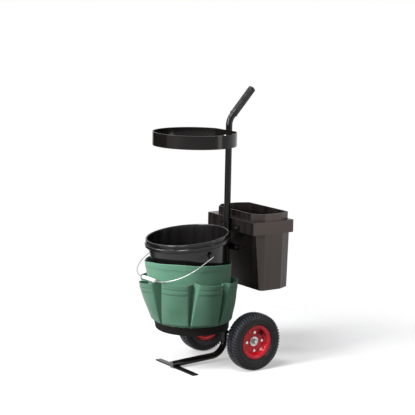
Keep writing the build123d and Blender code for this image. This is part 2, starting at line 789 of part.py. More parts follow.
# Bail wire, hanging to the front, with its ends turned into the ears
bail_plane = Plane(origin=(0, ear_y, ear_z), x_dir=(1, 0, 0), z_dir=(0, hang_cos, -hang_sin))
bail_corner_r = bail_half - bail_grip_len / 2 - wire_r
bail_tip_x = ear_end_x - bail_pin + hole_gap
with BuildPart() as bail_wire:
    with BuildLine(bail_plane) as bail_path:
        FilletPolyline(
            (-bail_tip_x, 0),
            (-bail_half, 0),
            (-bail_half, bail_reach),
            (bail_half, bail_reach),
            (bail_half, 0),
            (bail_tip_x, 0),
            radius=[bail_foot_r, bail_corner_r, bail_corner_r, bail_foot_r],
        )
    with BuildSketch(Plane(origin=bail_path.line @ 0, z_dir=bail_path.line % 0)):
        Circle(wire_r)
    sweep()
bail_wire.part.label = "bail_wire"
export_step(bail_wire.part, "parts/bail_wire.step")

# Loose plastic grip on the middle of the bail
bail_grip_y = ear_y - bail_reach * hang_sin
bail_grip_z = ear_z - bail_reach * hang_cos
with BuildPart() as bail_grip:
    with BuildSketch(Plane.YZ):
        with Locations((bail_grip_y, bail_grip_z)):
            Circle(bail_grip_d / 2)
            Circle(wire_r + run_gap, mode=Mode.SUBTRACT)
    extrude(amount=bail_grip_len / 2, both=True)
    chamfer(bail_grip.faces().filter_by(Axis.X).edges().group_by(SortBy.RADIUS)[-1], bail_grip_d / 8)
bail_grip.part.label = "bail_grip"
export_step(bail_grip.part, "parts/bail_grip.step")

# Bag: a tapered sleeve on a dark base band with a floor
band_top_z = bag_low_z + bag_band_h
with BuildPart() as bag_sleeve:
    for z in (band_top_z, bag_top_z):
        with BuildSketch(Plane.XY.offset(z)):
            with Locations((0, bag_y(z))):
                Circle(bag_r(z))
    loft(ruled=True)
    for z in (band_top_z, bag_top_z):
        with BuildSketch(Plane.XY.offset(z)):
            with Locations((0, bag_y(z))):
                Circle(bag_r(z) - bag_t)
    loft(ruled=True, mode=Mode.SUBTRACT)
    with BuildSketch(across_y(post_y, bucket_bolt_low_z, -1)):
        Circle(bucket_bolt_d / 2 + insert_flange_d / 2)
    extrude(amount=tube_d + bag_t, mode=Mode.SUBTRACT)
bag_sleeve.part.label = "bag_sleeve"
export_step(bag_sleeve.part, "parts/bag_sleeve.step")

with BuildPart() as bag_base:
    for z in (bag_low_z, band_top_z - seat_gap):
        with BuildSketch(Plane.XY.offset(z)):
            with Locations((0, bag_y(z))):
                Circle(bag_r(z))
    loft(ruled=True)
    for z in (bag_low_z + bag_t, band_top_z - seat_gap):
        with BuildSketch(Plane.XY.offset(z)):
            with Locations((0, bag_y(z))):
                Circle(bag_r(z) - bag_t)
    loft(ruled=True, mode=Mode.SUBTRACT)
bag_base.part.label = "bag_base"
export_step(bag_base.part, "parts/bag_base.step")

# The bag's outside, a little grown, which the pockets are cut back to
pocket_low_z = band_top_z + pocket_foot_gap
with BuildPart() as bag_form:
    for z in (bag_low_z, bag_top_z):
        with BuildSketch(Plane.XY.offset(z)):
            with Locations((0, bag_y(z))):
                Circle(bag_r(z) + soft_gap)
    loft(ruled=True)

# Pockets: each is a fabric panel standing out at its mouth and sewn down at its sides and foot
for number in range(pocket_count):
    start = pocket_turn + (number - pocket_count // 2 - 1) * pocket_pitch
    end = start + pocket_pitch
    middle = (start + end) / 2
    with BuildPart() as pocket:
        for thin, mode in ((0, Mode.ADD), (pocket_t, Mode.SUBTRACT)):
            inset = degrees(thin / bag_r(pocket_top_z))
            levels = (
                (pocket_low_z + thin, pocket_foot_side + inset, pocket_foot_out - thin, 0),
                (pocket_top_z, pocket_side + inset, pocket_out - thin, pocket_bulge),
            )
            for z, side, out, bulge in levels:
                wall_left = bag_point(start + side / 2, -2 * pocket_t, z)
                wall_right = bag_point(end - side / 2, -2 * pocket_t, z)
                front_left = bag_point(start + side, out, z)
                front_right = bag_point(end - side, out, z)
                with BuildSketch(Plane.XY.offset(z)):
                    with BuildLine():
                        Polyline(front_right, wall_right, wall_left, front_left)
                        ThreePointArc(front_left, bag_point(middle, out + bulge, z), front_right)
                    make_face()
            loft(ruled=True, mode=mode)
        add(bag_form.part, mode=Mode.SUBTRACT)
    pocket.part.label = f"pocket_{number + 1}"
    export_step(pocket.part, f"parts/pocket_{number + 1}.step")

# Bin body: eight-sided tub, drawn in most at its front, under the collar
skin = bin_collar_wall + fit_gap
collar_top_z = bin_collar_low_z + bin_collar_h
body_top_z = collar_top_z - skin
bin_rear_y = bin_front_y + bin_d
bin_lean = (bin_foot_front - bin_neck_front) / (bin_collar_low_z - bin_low_z)


def body_front(z):
    """How far the body's front lies behind the collar's front at a height below the collar."""
    return bin_neck_front + (bin_collar_low_z - z) * bin_lean


facet_len = sqrt(bin_facet_x**2 + bin_facet_y**2)


def rear_facet(thin):
    """Size of the rear facet across and along, in a wall lying thin inside the outer one."""
    out_x = bin_facet_y / facet_len
    out_y = bin_facet_x / facet_len
    across = bin_facet_x - thin * (1 - (1 - out_y) / out_x)
    along = bin_facet_y - thin * (1 - (1 - out_x) / out_y)
    return across, along


def eight_sided(half_w, front, rear_y, thin, side_start):
    """Plan of the tub: its straight sides start side_start behind the collar's front."""
    front_y = bin_front_y + front
    front_cut = side_start - front
    across, along = rear_facet(thin)
    return (
        (-half_w + front_cut, front_y),
        (half_w - front_cut, front_y),
        (half_w, front_y + front_cut),
        (half_w, rear_y - along),
        (half_w - across, rear_y),
        (across - half_w, rear_y),
        (-half_w, rear_y - along),
        (-half_w, front_y + front_cut),
    )


body_levels = (
    (bin_low_z, bin_foot_front),
    (bin_collar_low_z, bin_neck_front),
    (body_top_z, bin_lip_front + bin_wall),
)
with BuildPart() as bin_body:
    for thin, mode in ((0, Mode.ADD), (bin_wall, Mode.SUBTRACT)):
        for z, front in body_levels:
            floor = thin if z == bin_low_z else 0
            draft = (body_top_z - z) * tan(radians(bin_draft)) + thin
            ring = eight_sided(
                bin_w / 2 - skin - draft,
                front + thin,
                bin_rear_y - skin - draft,
                thin,
                bin_side_start + thin * (sqrt(2) - 1),
            )
            with BuildSketch(Plane.XY.offset(z + floor)):
                with BuildLine():
                    Polyline(*ring, close=True)
                make_face()
        loft(ruled=True, mode=mode)
        if mode == Mode.ADD:
            fillet(bin_body.faces().sort_by(Axis.Z)[0].edges(), bin_foot_round)
    with BuildSketch(across_y(bin_front_y, bin_bolt_low_z)):
        with GridLocations(bin_bolt_x, 0, 2, 1):
            Circle(bin_bolt_d / 2 + hole_gap)
    extrude(amount=bin_side_start, mode=Mode.SUBTRACT)
bin_body.part.label = "bin_body"
export_step(bin_body.part, "parts/bin_body.step")

# Bin collar: square skirt round the body's top, with a raised lip round the mouth
with BuildPart() as bin_collar:
    with BuildSketch(Plane.XY.offset(bin_collar_low_z)):
        with Locations((0, bin_front_y + bin_d / 2)):
            Rectangle(bin_w, bin_d)
    extrude(amount=bin_collar_h)
    fillet(bin_collar.edges().filter_by(Axis.Z), bin_collar_wall)
    chamfer(bin_collar.faces().sort_by(Axis.Z)[-1].edges(), bin_collar_wall / 3)
    lip = eight_sided(
        bin_w / 2 - bin_lip_side,
        bin_lip_front,
        bin_rear_y - bin_lip_rear,
        0,
        bin_side_start,
    )
    with BuildSketch(Plane.XY.offset(collar_top_z)):
        with BuildLine():
            Polyline(*lip, close=True)
        make_face()
    extrude(amount=bin_lip_h)
    with BuildSketch(Plane.XY.offset(bin_collar_low_z)):
        with Locations((0, bin_front_y + bin_d / 2)):
            Rectangle(bin_w - 2 * bin_collar_wall, bin_d - 2 * bin_collar_wall)
    extrude(amount=bin_collar_h - bin_collar_wall, mode=Mode.SUBTRACT)
    mouth = eight_sided(
        bin_w / 2 - bin_lip_side - bin_wall,
        bin_lip_front + bin_wall,
        bin_rear_y - bin_lip_rear - bin_wall,
        bin_wall,
        bin_side_start + bin_wall * (sqrt(2) - 1),
    )
    with BuildSketch(Plane.XY.offset(collar_top_z - bin_collar_wall)):
        with BuildLine():
            Polyline(*mouth, close=True)
        make_face()
    extrude(amount=bin_lip_h + bin_collar_wall, mode=Mode.SUBTRACT)
    with BuildSketch(across_y(bin_front_y - bin_wall, bin_bolt_high_z)):
        with GridLocations(bin_bolt_x, 0, 2, 1):
            Circle(bin_bolt_d / 2 + hole_gap)
    extrude(amount=3 * bin_wall, mode=Mode.SUBTRACT)
bin_collar.part.label = "bin_collar"
export_step(bin_collar.part, "parts/bin_collar.step")

# Straps welded across the rear of the post, the upper one on the collar
with BuildPart() as bin_straps:
    for bolt_z in (bin_bolt_high_z, bin_bolt_low_z):
        with BuildSketch(across_y(post_rear_y, bolt_z)):
            RectangleRounded(strap_len, strap_h, strap_h / 4)
            with GridLocations(bin_bolt_x, 0, 2, 1):
                Circle(bin_bolt_d / 2 + hole_gap, mode=Mode.SUBTRACT)
        extrude(amount=strap_t - seat_gap)
bin_straps.part.label = "bin_straps"
export_step(bin_straps.part, "parts/bin_straps.step")

# Spacer tubes from the lower strap to the body's sloping front
body_slant = bin_lean * bin_spacer_d / 2
with BuildPart() as bin_spacers:
    with BuildSketch(across_y(bin_front_y, bin_bolt_low_z)):
        with GridLocations(bin_bolt_x, 0, 2, 1):
            Circle(bin_spacer_d / 2)
            Circle(bin_bolt_d / 2 + hole_gap, mode=Mode.SUBTRACT)
    extrude(amount=body_front(bin_bolt_low_z) - body_slant - seat_gap)
bin_spacers.part.label = "bin_spacers"
export_step(bin_spacers.part, "parts/bin_spacers.step")

# Bolts of the bin: heads in front of the straps, nuts behind the collar's skin and inside the tub
bin_nut_h = 0.8 * bin_bolt_d
nut_places = (
    (bin_bolt_high_z, bin_front_y + bin_collar_wall + seat_gap),
    (bin_bolt_low_z, bin_front_y + body_front(bin_bolt_low_z) + bin_wall + body_slant + seat_gap),
)
with BuildPart() as bin_bolts:
    for bolt_z, nut_y in nut_places:
        with BuildSketch(across_y(post_rear_y - seat_gap, bolt_z, -1)):
            with GridLocations(bin_bolt_x, 0, 2, 1):
                hexagon(1.7 * bin_bolt_d)
        extrude(amount=0.7 * bin_bolt_d)
        with BuildSketch(across_y(post_rear_y - seat_gap, bolt_z)):
            with GridLocations(bin_bolt_x, 0, 2, 1):
                Circle(bin_bolt_d / 2)
        extrude(amount=nut_y - post_rear_y + 1.3 * bin_nut_h)
bin_bolts.part.label = "bin_bolts"
export_step(bin_bolts.part, "parts/bin_bolts.step")

with BuildPart() as bin_nuts:
    for bolt_z, nut_y in nut_places:
        with BuildSketch(across_y(nut_y, bolt_z)):
            with GridLocations(bin_bolt_x, 0, 2, 1):
                hexagon(1.7 * bin_bolt_d)
                Circle(bin_bolt_d / 2 + seat_gap, mode=Mode.SUBTRACT)
        extrude(amount=bin_nut_h)
bin_nuts.part.label = "bin_nuts"
export_step(bin_nuts.part, "parts/bin_nuts.step")
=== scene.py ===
"""Looks of the two-wheeled garden trolley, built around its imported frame.

The sewn bag, the tyres and the weld beads are numpy surfaces. The other pieces keep their CAD shapes, and
every piece gets a procedural finish.
"""

import json
from math import cos, radians, sin

import bpy
import numpy as np
from mathutils import Matrix, Vector


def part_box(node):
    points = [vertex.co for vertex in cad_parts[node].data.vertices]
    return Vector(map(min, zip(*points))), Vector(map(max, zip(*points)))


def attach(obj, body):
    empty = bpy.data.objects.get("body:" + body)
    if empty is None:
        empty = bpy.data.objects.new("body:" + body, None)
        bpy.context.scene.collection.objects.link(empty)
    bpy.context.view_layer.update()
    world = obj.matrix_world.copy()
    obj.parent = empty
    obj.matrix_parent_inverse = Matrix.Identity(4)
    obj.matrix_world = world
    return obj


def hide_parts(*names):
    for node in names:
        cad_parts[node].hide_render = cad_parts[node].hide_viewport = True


bl_info = {
    "name": "Garden trolley dressing",
    "version": (1, 0, 0),
    "blender": (4, 5, 0),
    "location": "View3D > Sidebar > Trolley",
    "description": "Makes the bag, tyres, weld beads, finishes and studio of a garden trolley",
    "category": "Object",
}

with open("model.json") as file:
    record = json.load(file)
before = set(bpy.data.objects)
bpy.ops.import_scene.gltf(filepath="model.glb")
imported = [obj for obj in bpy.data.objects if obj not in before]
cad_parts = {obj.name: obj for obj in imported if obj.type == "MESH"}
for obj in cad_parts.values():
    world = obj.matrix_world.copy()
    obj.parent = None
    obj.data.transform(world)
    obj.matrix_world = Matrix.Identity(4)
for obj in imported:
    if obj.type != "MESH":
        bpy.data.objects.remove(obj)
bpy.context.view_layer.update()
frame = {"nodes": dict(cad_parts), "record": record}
NODES = frame["nodes"]
FRAME_BODY = "frame"
WHEEL_SIDES = ("right", "left")
MM = 0.001
NEUTRAL = (1.0, 1.0, 1.0)
WARM = (1.0, 0.86, 0.80)
COOL = (0.93, 0.95, 1.0)
GRAIN_DEPTH = 0.3 * MM


def middle_of(node):
    """Middle of a CAD node's box."""
    return [(low + high) / 2 for low, high in zip(*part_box(node))]


# Places read from the frame
SLEEVE_LOW, SLEEVE_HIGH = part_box("bag_sleeve")
BASE_LOW, BASE_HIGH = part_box("bag_base")
TUBE_LOW, TUBE_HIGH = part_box("spine_tube")
AXLE_LOW, AXLE_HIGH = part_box("axle")
BAR_LOW, BAR_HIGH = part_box("foot_bar")
STRAP_LOW, STRAP_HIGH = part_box("bin_straps")
POCKETS = sorted(name for name in NODES if name.startswith("pocket_"))
POCKET_LOW, POCKET_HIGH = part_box(POCKETS[0])
BAG_TOP_R = (SLEEVE_HIGH[0] - SLEEVE_LOW[0]) / 2
BAG_BAND_R = (BASE_HIGH[0] - BASE_LOW[0]) / 2
BAG_REAR_Y = SLEEVE_HIGH[1]
TUBE_R = (TUBE_HIGH[0] - TUBE_LOW[0]) / 2
POST_GAP = 0.3 * MM
POST_Y = BAG_REAR_Y + POST_GAP + TUBE_R
COLLAR_WIDTH = 8 * MM
AXLE_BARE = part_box("axle_collars")[1][0] - COLLAR_WIDTH
AXLE_CENTRE = middle_of("axle")
AXLE_R = (AXLE_HIGH[2] - AXLE_LOW[2]) / 2


def length(name, description, default):
    """A size in metres for the sidebar."""
    return bpy.props.FloatProperty(
        name=name, description=description, default=default, unit="LENGTH", precision=4
    )


def angle(name, description, degrees):
    """An angle for the sidebar, given in degrees."""
    return bpy.props.FloatProperty(
        name=name, description=description, default=radians(degrees), subtype="ANGLE"
    )


def amount(name, description, default, unit="NONE"):
    """A number for the sidebar, with a unit where one fits."""
    return bpy.props.FloatProperty(name=name, description=description, default=default, unit=unit)


def colour(name, description, default):
    """A linear colour for the sidebar."""
    return bpy.props.FloatVectorProperty(
        name=name, description=description, default=default, subtype="COLOR", min=0.0, max=1.0, size=3
    )


class TrolleyBagSettings(bpy.types.PropertyGroup):
    """Sizes of the sewn bag."""

    cloth: length("Cloth", "Thickness of the bag's cloth", 1.6 * MM)
    pocket_depth: length("Pocket depth", "How far a pocket's mouth stands out from the wall", 25 * MM)
    pocket_foot: length("Pocket foot", "How far a pocket's foot stands out from the wall", 10.5 * MM)
    pocket_turn_in: length("Foot turn", "Height over which a pocket's foot turns under to its seam", 9 * MM)
    pocket_bow: length("Pocket bow", "How far the middle of a pocket's front bows out", 5 * MM)
    hem: length("Hem", "Height of the folded hem of a pocket", 38 * MM)
    groove: length("Groove", "How deep the hem's seams pull in", 1.3 * MM)
    stitch: length("Stitch", "Length of one stitch", 3.2 * MM)
    edge_peak: angle("Edge peak", "Azimuth where the bag's top edge stands highest", 55)
    pocket_turn: angle("Pocket turn", "Azimuth of a seam from the front", 11)
    pocket_lean: angle("Pocket lean", "Turn of a pocket's mouth over its foot", 9)
    pocket_pitch: angle("Pocket pitch", "Angle from seam to seam", 45)


class TrolleyTyreSettings(bpy.types.PropertyGroup):
    """Section and tread of a tyre. Radii are from the wheel's axis, half widths from its middle."""

    shoulder_r: length("Shoulder radius", "Radius of the tread's edge", 107.18 * MM)
    shoulder_half: length("Shoulder half", "Half width of the tread", 25.6 * MM)
    bulge_r: length("Bulge radius", "Radius where the tyre is widest", 86.3 * MM)
    bead_r: length("Bead radius", "Radius of the bead's seat", 51.2 * MM)
    bead_top_r: length("Bead top", "Radius where the wall leaves the rim's flange", 65.7 * MM)
    bead_half: length("Bead half", "Half width between the rim's flanges", 20.8 * MM)
    bead_curl: length("Bead curl", "Radius of the bead's round edge", 7.8 * MM)
    bead_toe: length("Bead toe", "Half width of the bead's open inside", 8.0 * MM)
    wall: length("Wall", "Thickness of the carcass", 6.5 * MM)
    cavity_top_r: length("Cavity top", "Radius of the inside under the tread", 99.5 * MM)
    lug_depth: length("Lug depth", "Depth of the gaps between the lugs", 3.4 * MM)
    lug_skirt: length("Lug skirt", "How far the lugs run down the side wall", 15.0 * MM)
    lug_lean: length("Lug lean", "How far a lug leans round the wheel from its root to its end", 7.0 * MM)
    lugs: bpy.props.IntProperty(name="Lugs", description="Number of lugs on each shoulder", default=56)


class TrolleyColours(bpy.types.PropertyGroup):
    """Colours of the trolley's finishes."""

    paint: colour("Black paint", "Gloss paint of the tube, hoop and foot bar", (0.0055, 0.0046, 0.0043))
    rim: colour("Rim paint", "Red paint of the pressed rims", (0.74, 0.006, 0.024))
    cloth: colour("Bag cloth", "Woven cloth of the bag", (0.080, 0.195, 0.127))
    band: colour("Base band", "Coated cloth of the bag's base", (0.0055, 0.0043, 0.0040))
    bucket: colour("Bucket", "Moulded plastic of the bucket", (0.0050, 0.0045, 0.0048))
    bin: colour("Bin", "Moulded plastic of the bin", (0.0028, 0.0021, 0.0018))
    tyre: colour("Tyre", "Rubber of the tyres", (0.0050, 0.0050, 0.0055))
    zinc: colour("Zinc", "Zinc plate of bolts, nuts, hub and wire", (0.62, 0.62, 0.60))
    grip: colour("Bail grip", "Plastic of the bail's grip", (0.80, 0.80, 0.77))


class TrolleyStage(bpy.types.PropertyGroup):
    """Camera and light of the studio."""

    azimuth: angle("Azimuth", "Camera azimuth", 55.0)
    elevation: angle("Elevation", "Camera elevation", 9.32)
    roll: angle("Roll", "Camera roll", 1.159)
    distance: length("Distance", "Camera distance from its target", 5.4658)
    lens: amount("Lens", "Focal length in millimetres", 125.6, "CAMERA")
    target_ahead: length("Target ahead", "How far the camera's target lies in front of the post", 0.0920)
    target_height: length("Target height", "Height of the camera's target", 0.6058)
    key_power: amount("Key", "Power of the key light in watts", 215.0, "POWER")
    side_power: amount("Side", "Power of the side light in watts", 14.0, "POWER")
    top_power: amount("Top", "Power of the top light in watts", 100.0, "POWER")
    left_power: amount("Left", "Power of the light at the upper left in watts", 28.0, "POWER")
    sky: amount("Sky", "Strength of the even light from all round", 0.15)


# Shader expressions


class Value:
    """A socket of a node tree with Python's operators: each operation adds one Math node."""

    def __init__(self, shade, socket):
        self.shade = shade
        self.socket = socket

    def _math(self, operation, *values):
        return self.shade.node("ShaderNodeMath", {"operation": operation}, dict(enumerate(values)))

    def __add__(self, other):
        return self._math("ADD", self, other)

    def __sub__(self, other):
        return self._math("SUBTRACT", self, other)

    def __rsub__(self, other):
        return self._math("SUBTRACT", other, self)

    def __mul__(self, other):
        return self._math("MULTIPLY", self, other)

    def __pow__(self, other):
        return self._math("POWER", self, other)

    __radd__ = __add__
    __rmul__ = __mul__

    def sine(self):
        return self._math("SINE", self)

    def clamp(self):
        """The value held between 0 and 1."""
        return self._math("MINIMUM", self._math("MAXIMUM", self, 0.0), 1.0)

    def band(self, low, high):
        """Smooth step from 0 at low to 1 at high."""
        settings = {"interpolation_type": "SMOOTHSTEP"}
        sockets = {"Value": self, "From Min": low, "From Max": high}
        return self.shade.node("ShaderNodeMapRange", settings, sockets)


class Shade:
    """One material's node tree."""

    def __init__(self, name):
        self.material = bpy.data.materials.new(name)
        self.material.use_nodes = True
        self.tree = self.material.node_tree
        self.bsdf = self.tree.nodes["Principled BSDF"]

    def put(self, node, key, value):
        """Link a value into a socket, or set the socket's own number."""
        socket = node.inputs[key]
        if isinstance(value, Value):
            self.tree.links.new(value.socket, socket)
        elif isinstance(value, (tuple, list)) and len(value) == 3 and socket.type == "RGBA":
            socket.default_value = (*value, 1.0)
        else:
            socket.default_value = value

    def node(self, kind, settings=None, sockets=None, output=0):
        """Make any node: its settings first, then the values or links of its sockets."""
        made = self.tree.nodes.new(kind)
        for key, value in (settings or {}).items():
            setattr(made, key, value)
        for key, value in (sockets or {}).items():
            self.put(made, key, value)
        return Value(self, made.outputs[output])

    def place(self, offset=(0, 0, 0), scale=(1, 1, 1), turn=(0, 0, 0)):
        """Object coordinates, moved, turned and scaled."""
        coordinates = self.node("ShaderNodeTexCoord", output="Object")
        shift = [-v for v in offset]
        moved = self.node("ShaderNodeMapping", None, {"Vector": coordinates, "Location": shift})
        return self.node("ShaderNodeMapping", None, {"Vector": moved, "Scale": scale, "Rotation": turn})

    def uv(self, scale=(1, 1, 1)):
        """The piece's own map, in metres along and up the cloth."""
        mapped = self.node("ShaderNodeUVMap", {"uv_map": "cloth"})
        return self.node("ShaderNodeMapping", None, {"Vector": mapped, "Scale": scale})

    def axis(self, vector, name):
        """One number of a vector."""
        return self.node("ShaderNodeSeparateXYZ", None, {0: vector}, output=name)

    def noise(self, vector, scale, detail=3.0, rough=0.5):
        """Cloudy pattern from 0 to 1."""
        sockets = {"Vector": vector, "Scale": scale, "Detail": detail, "Roughness": rough}
        return self.node("ShaderNodeTexNoise", None, sockets)

    def cells(self, vector, scale):
        """Distance from the nearest of many scattered points."""
        return self.node("ShaderNodeTexVoronoi", {"feature": "F1"}, {"Vector": vector, "Scale": scale})

    def mix(self, factor, first, second):
        """Mix of two colours."""
        sockets = {0: factor, 6: first, 7: second}
        return self.node("ShaderNodeMix", {"data_type": "RGBA"}, sockets, output=2)

    def bump(self, height, strength, distance=GRAIN_DEPTH):
        """Fine relief, with its depth in metres."""
        sockets = {"Height": height, "Strength": strength, "Distance": distance}
        return self.node("ShaderNodeBump", None, sockets)

    def finish(self, **sockets):
        """Fill the Principled shader's sockets by name, with _ for a space."""
        for key, value in sockets.items():
            self.put(self.bsdf, key.replace("_", " "), value)
        return self.material


def tinted(tint, factor):
    """A colour made lighter or darker."""
    return tuple(min(1.0, v * factor) for v in tint)


def gloss_paint(name, tint, roughness=0.17, shine=0.16, coat=0.12):
    """Sprayed gloss paint: faint orange peel, handling haze and dust on the faces that look up."""
    s = Shade(name)
    near = s.place()
    haze = s.noise(near, 14, 4)
    peel = s.noise(near, 520, 2)
    specks = s.noise(near, 160, 5, 0.7).band(0.66, 0.74)
    up = s.axis(s.node("ShaderNodeNewGeometry", output="Normal"), "Z").band(0.55, 1.0)
    dust = (haze.band(0.45, 0.7) * up * 0.08 + specks * 0.03).clamp()
    dusty = tuple(0.7 * v + 0.08 for v in tint)
    return s.finish(
        Base_Color=s.mix(dust, tint, dusty),
        Roughness=(haze - 0.5) * 0.14 + roughness + dust * 0.5,
        Normal=s.bump(peel, 0.06),
        Coat_Weight=coat,
        Coat_Roughness=0.05,
        Specular_IOR_Level=shine,
    )


def zinc_plate(name, tint, grain=260.0):
    """Bright zinc: metal with faint spangle and duller patches."""
    s = Shade(name)
    near = s.place()
    spangle = s.cells(near, grain)
    dull = s.noise(near, 60, 4, 0.6)
    return s.finish(
        Base_Color=s.mix((spangle * 0.35 + dull * 0.4).clamp(), tint, tinted(tint, 0.72)),
        Metallic=1.0,
        Roughness=dull * 0.22 + spangle * 0.10 + 0.20,
        Normal=s.bump(spangle, 0.06),
    )


def plated_ends(name, paint, zinc, bare_from):
    """A rod painted along its middle and bare zinc towards its ends."""
    s = Shade(name)
    near = s.place()
    cloud = s.noise(near, 80, 4, 0.6)
    reach = (s.axis(near, "X") ** 2.0) ** 0.5 + (cloud - 0.5) * 0.004
    bare = reach.band(bare_from, bare_from + 0.002)
    return s.finish(
        Base_Color=s.mix(bare, paint, s.mix(cloud, zinc, tinted(zinc, 0.7))),
        Metallic=bare,
        Roughness=cloud * 0.2 + 0.16 + bare * 0.08,
        Normal=s.bump(cloud, 0.05),
        Specular_IOR_Level=0.12,
    )


def moulded_plastic(name, tint, roughness=0.40, shine=0.14, sheen_and_wear_lift=0.022, cast=NEUTRAL):
    """Moulded plastic: fine leather grain, upright streaks painted in a lighter warm colour as painted
    reflections, and thin scuffs.
    """
    s = Shade(name)
    near = s.place()
    # Upright streaks: the lighter warm base colour along them is a painted reflection; they also vary the
    # roughness.
    painted_reflection_streak = s.noise(s.place(scale=(52, 52, 0.9)), 1.0, 2, 0.4)
    pits = s.cells(near, 900.0)
    scuff = s.noise(s.place(scale=(240, 240, 18), turn=(0.4, 0.2, 0)), 1.0, 5, 0.7).band(0.68, 0.76)
    cloud = s.noise(near, 9, 4)
    # Lighter warm colour, used for the painted reflection streaks and for the real scuffs.
    painted_sheen_and_wear = (tint[0] + sheen_and_wear_lift, tint[1] + 0.82 * sheen_and_wear_lift, tint[2] + 0.74 * sheen_and_wear_lift)
    return s.finish(
        Base_Color=s.mix((painted_reflection_streak.band(0.30, 0.72) * 0.55 + scuff * 0.35).clamp(), tint, painted_sheen_and_wear),
        Roughness=(cloud - 0.5) * 0.20 + (painted_reflection_streak - 0.5) * 0.24 + roughness,
        Normal=s.bump(pits + scuff * 0.4, 0.03),
        Specular_IOR_Level=shine,
        Specular_Tint=cast,
    )


def tyre_rubber(name, tint, centre):
    """Tyre rubber, satin: a fine grain, dry scuffs on the tread, and the lugs' faces painted lighter and
    bluish as a painted highlight, which leaves the gaps as painted shade.
    """
    s = Shade(name)
    near = s.place()
    local = s.place(offset=centre)
    reach = (s.axis(local, "Y") ** 2.0 + s.axis(local, "Z") ** 2.0) ** 0.5
    grain = s.noise(near, 420, 4, 0.6)
    dry = (s.noise(near, 38, 5, 0.65).band(0.45, 0.72) * reach.band(0.098, 0.106)).clamp()
    # 1 on the lugs' faces: the lighter colour there is a painted highlight, and the gaps stay dark as painted
    # shade.
    lug = s.node("ShaderNodeAttribute", {"attribute_name": "lug"}, output="Fac")
    # Lighter bluish colour: painted highlight on the lug faces, together with the real dry scuffs and grain.
    painted_sheen_and_wear = (tint[0] + 0.034, tint[1] + 0.035, tint[2] + 0.043)
    return s.finish(
        Base_Color=s.mix((lug * 0.62 + dry * 0.2 + grain * 0.10).clamp(), tint, painted_sheen_and_wear),
        Roughness=grain * 0.10 + dry * 0.12 + 0.28,
        Normal=s.bump(grain, 0.16, 0.6 * MM),
        Specular_IOR_Level=0.20,
    )


def soft_rubber(name, tint, roughness=0.50, shine=0.16):
    """Grip rubber: satin with a fine pebble."""
    s = Shade(name)
    near = s.place()
    pebble = s.cells(near, 700.0)
    cloud = s.noise(near, 40, 4)
    return s.finish(
        Base_Color=s.mix(cloud.band(0.4, 0.75) * 0.5, tint, tuple(v + 0.014 for v in tint)),
        Roughness=(cloud - 0.5) * 0.2 + roughness,
        Normal=s.bump(pebble, 0.04),
        Specular_IOR_Level=shine,
    )


def clear_gloss(name, tint):
    """Pale moulded plastic with a soft shine and a few handling marks."""
    s = Shade(name)
    marks = s.noise(s.place(scale=(30, 180, 180)), 1.0, 4, 0.6)
    return s.finish(
        Base_Color=s.mix(marks.band(0.5, 0.8) * 0.35, tint, tinted(tint, 0.80)),
        Roughness=marks * 0.18 + 0.24,
        Normal=s.bump(marks, 0.05),
    )


def woven_cloth(name, tint, pitch=1.5 * MM, sheen=0.25, shine=0.25):
    """Plain weave on the cloth's own map: crossing threads, slubs, fading and a dry sheen."""
    s = Shade(name)
    across = s.axis(s.uv(), "X")
    along = s.axis(s.uv(), "Y")
    turn = 2 * np.pi / pitch
    warp = (across * turn).sine()
    weft = (along * turn).sine()
    over = (warp * weft * 0.5 + 0.5).clamp()
    slub = s.noise(s.uv((90, 900, 1)), 1.0, 2)
    slub_up = s.noise(s.uv((900, 90, 1)), 1.0, 2)
    fade = s.noise(s.place(), 7, 4, 0.55)
    threads = (over * 0.45 + slub * 0.30 + slub_up * 0.25).clamp()
    base = s.mix(threads, tinted(tint, 0.78), tinted(tint, 1.16))
    return s.finish(
        Base_Color=s.mix(fade.band(0.42, 0.75) * 0.28, base, tuple(0.82 * v + 0.028 for v in tint)),
        Roughness=(fade - 0.5) * 0.1 + 0.82,
        Normal=s.bump(over + slub * 0.5 + slub_up * 0.5, 0.30, 0.5 * MM),
        Sheen_Weight=sheen,
        Sheen_Roughness=0.45,
        Specular_IOR_Level=shine,
    )


def thread(name, tint):
    """Sewing thread: twisted and slightly shiny."""
    s = Shade(name)
    near = s.place()
    twist = ((s.axis(near, "Z") + s.axis(near, "X")) * 5200.0).sine()
    return s.finish(
        Base_Color=s.mix(twist * 0.5 + 0.5, tinted(tint, 0.7), tint),
        Roughness=0.55,
        Normal=s.bump(twist, 0.4, 0.2 * MM),
    )


# Surfaces


def add_piece(name, points, faces, material, body=FRAME_BODY, uv=None):
    """Put vertices and faces, as arrays or lists, into a smooth mesh object that rides on a body."""
    mesh = bpy.data.meshes.new(name)
    mesh.from_pydata(points.reshape(-1, 3).tolist(), [], faces if isinstance(faces, list) else faces.tolist())
    if uv is not None:
        layer = mesh.uv_layers.new(name="cloth")
        layer.data.foreach_set("uv", uv.astype(np.float32).ravel())
    mesh.polygons.foreach_set("use_smooth", np.full(len(mesh.polygons), True))
    mesh.materials.append(material)
    mesh.update()
    piece = bpy.data.objects.new(name, mesh)
    bpy.context.scene.collection.objects.link(piece)
    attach(piece, body)
    return piece


def grid_faces(rows, columns, wrap=False):
    """Quads of a grid of rows x columns, counted row by row. wrap joins the last column to the first.

    Returns the vertex indices and, for each corner, its unwrapped row and column.
    """
    count = columns if wrap else columns - 1
    row, column = np.meshgrid(np.arange(rows - 1), np.arange(count), indexing="ij")
    corner_rows = np.stack([row, row, row + 1, row + 1], -1).reshape(-1, 4)
    corner_columns = np.stack([column, column + 1, column + 1, column], -1).reshape(-1, 4)
    return corner_rows * columns + corner_columns % columns, corner_rows, corner_columns


def thicken(piece, thickness):
    """Give a cloth surface its thickness, inwards."""
    solid = piece.modifiers.new("cloth", "SOLIDIFY")
    solid.thickness = thickness
    solid.offset = -1.0
    solid.use_even_offset = True


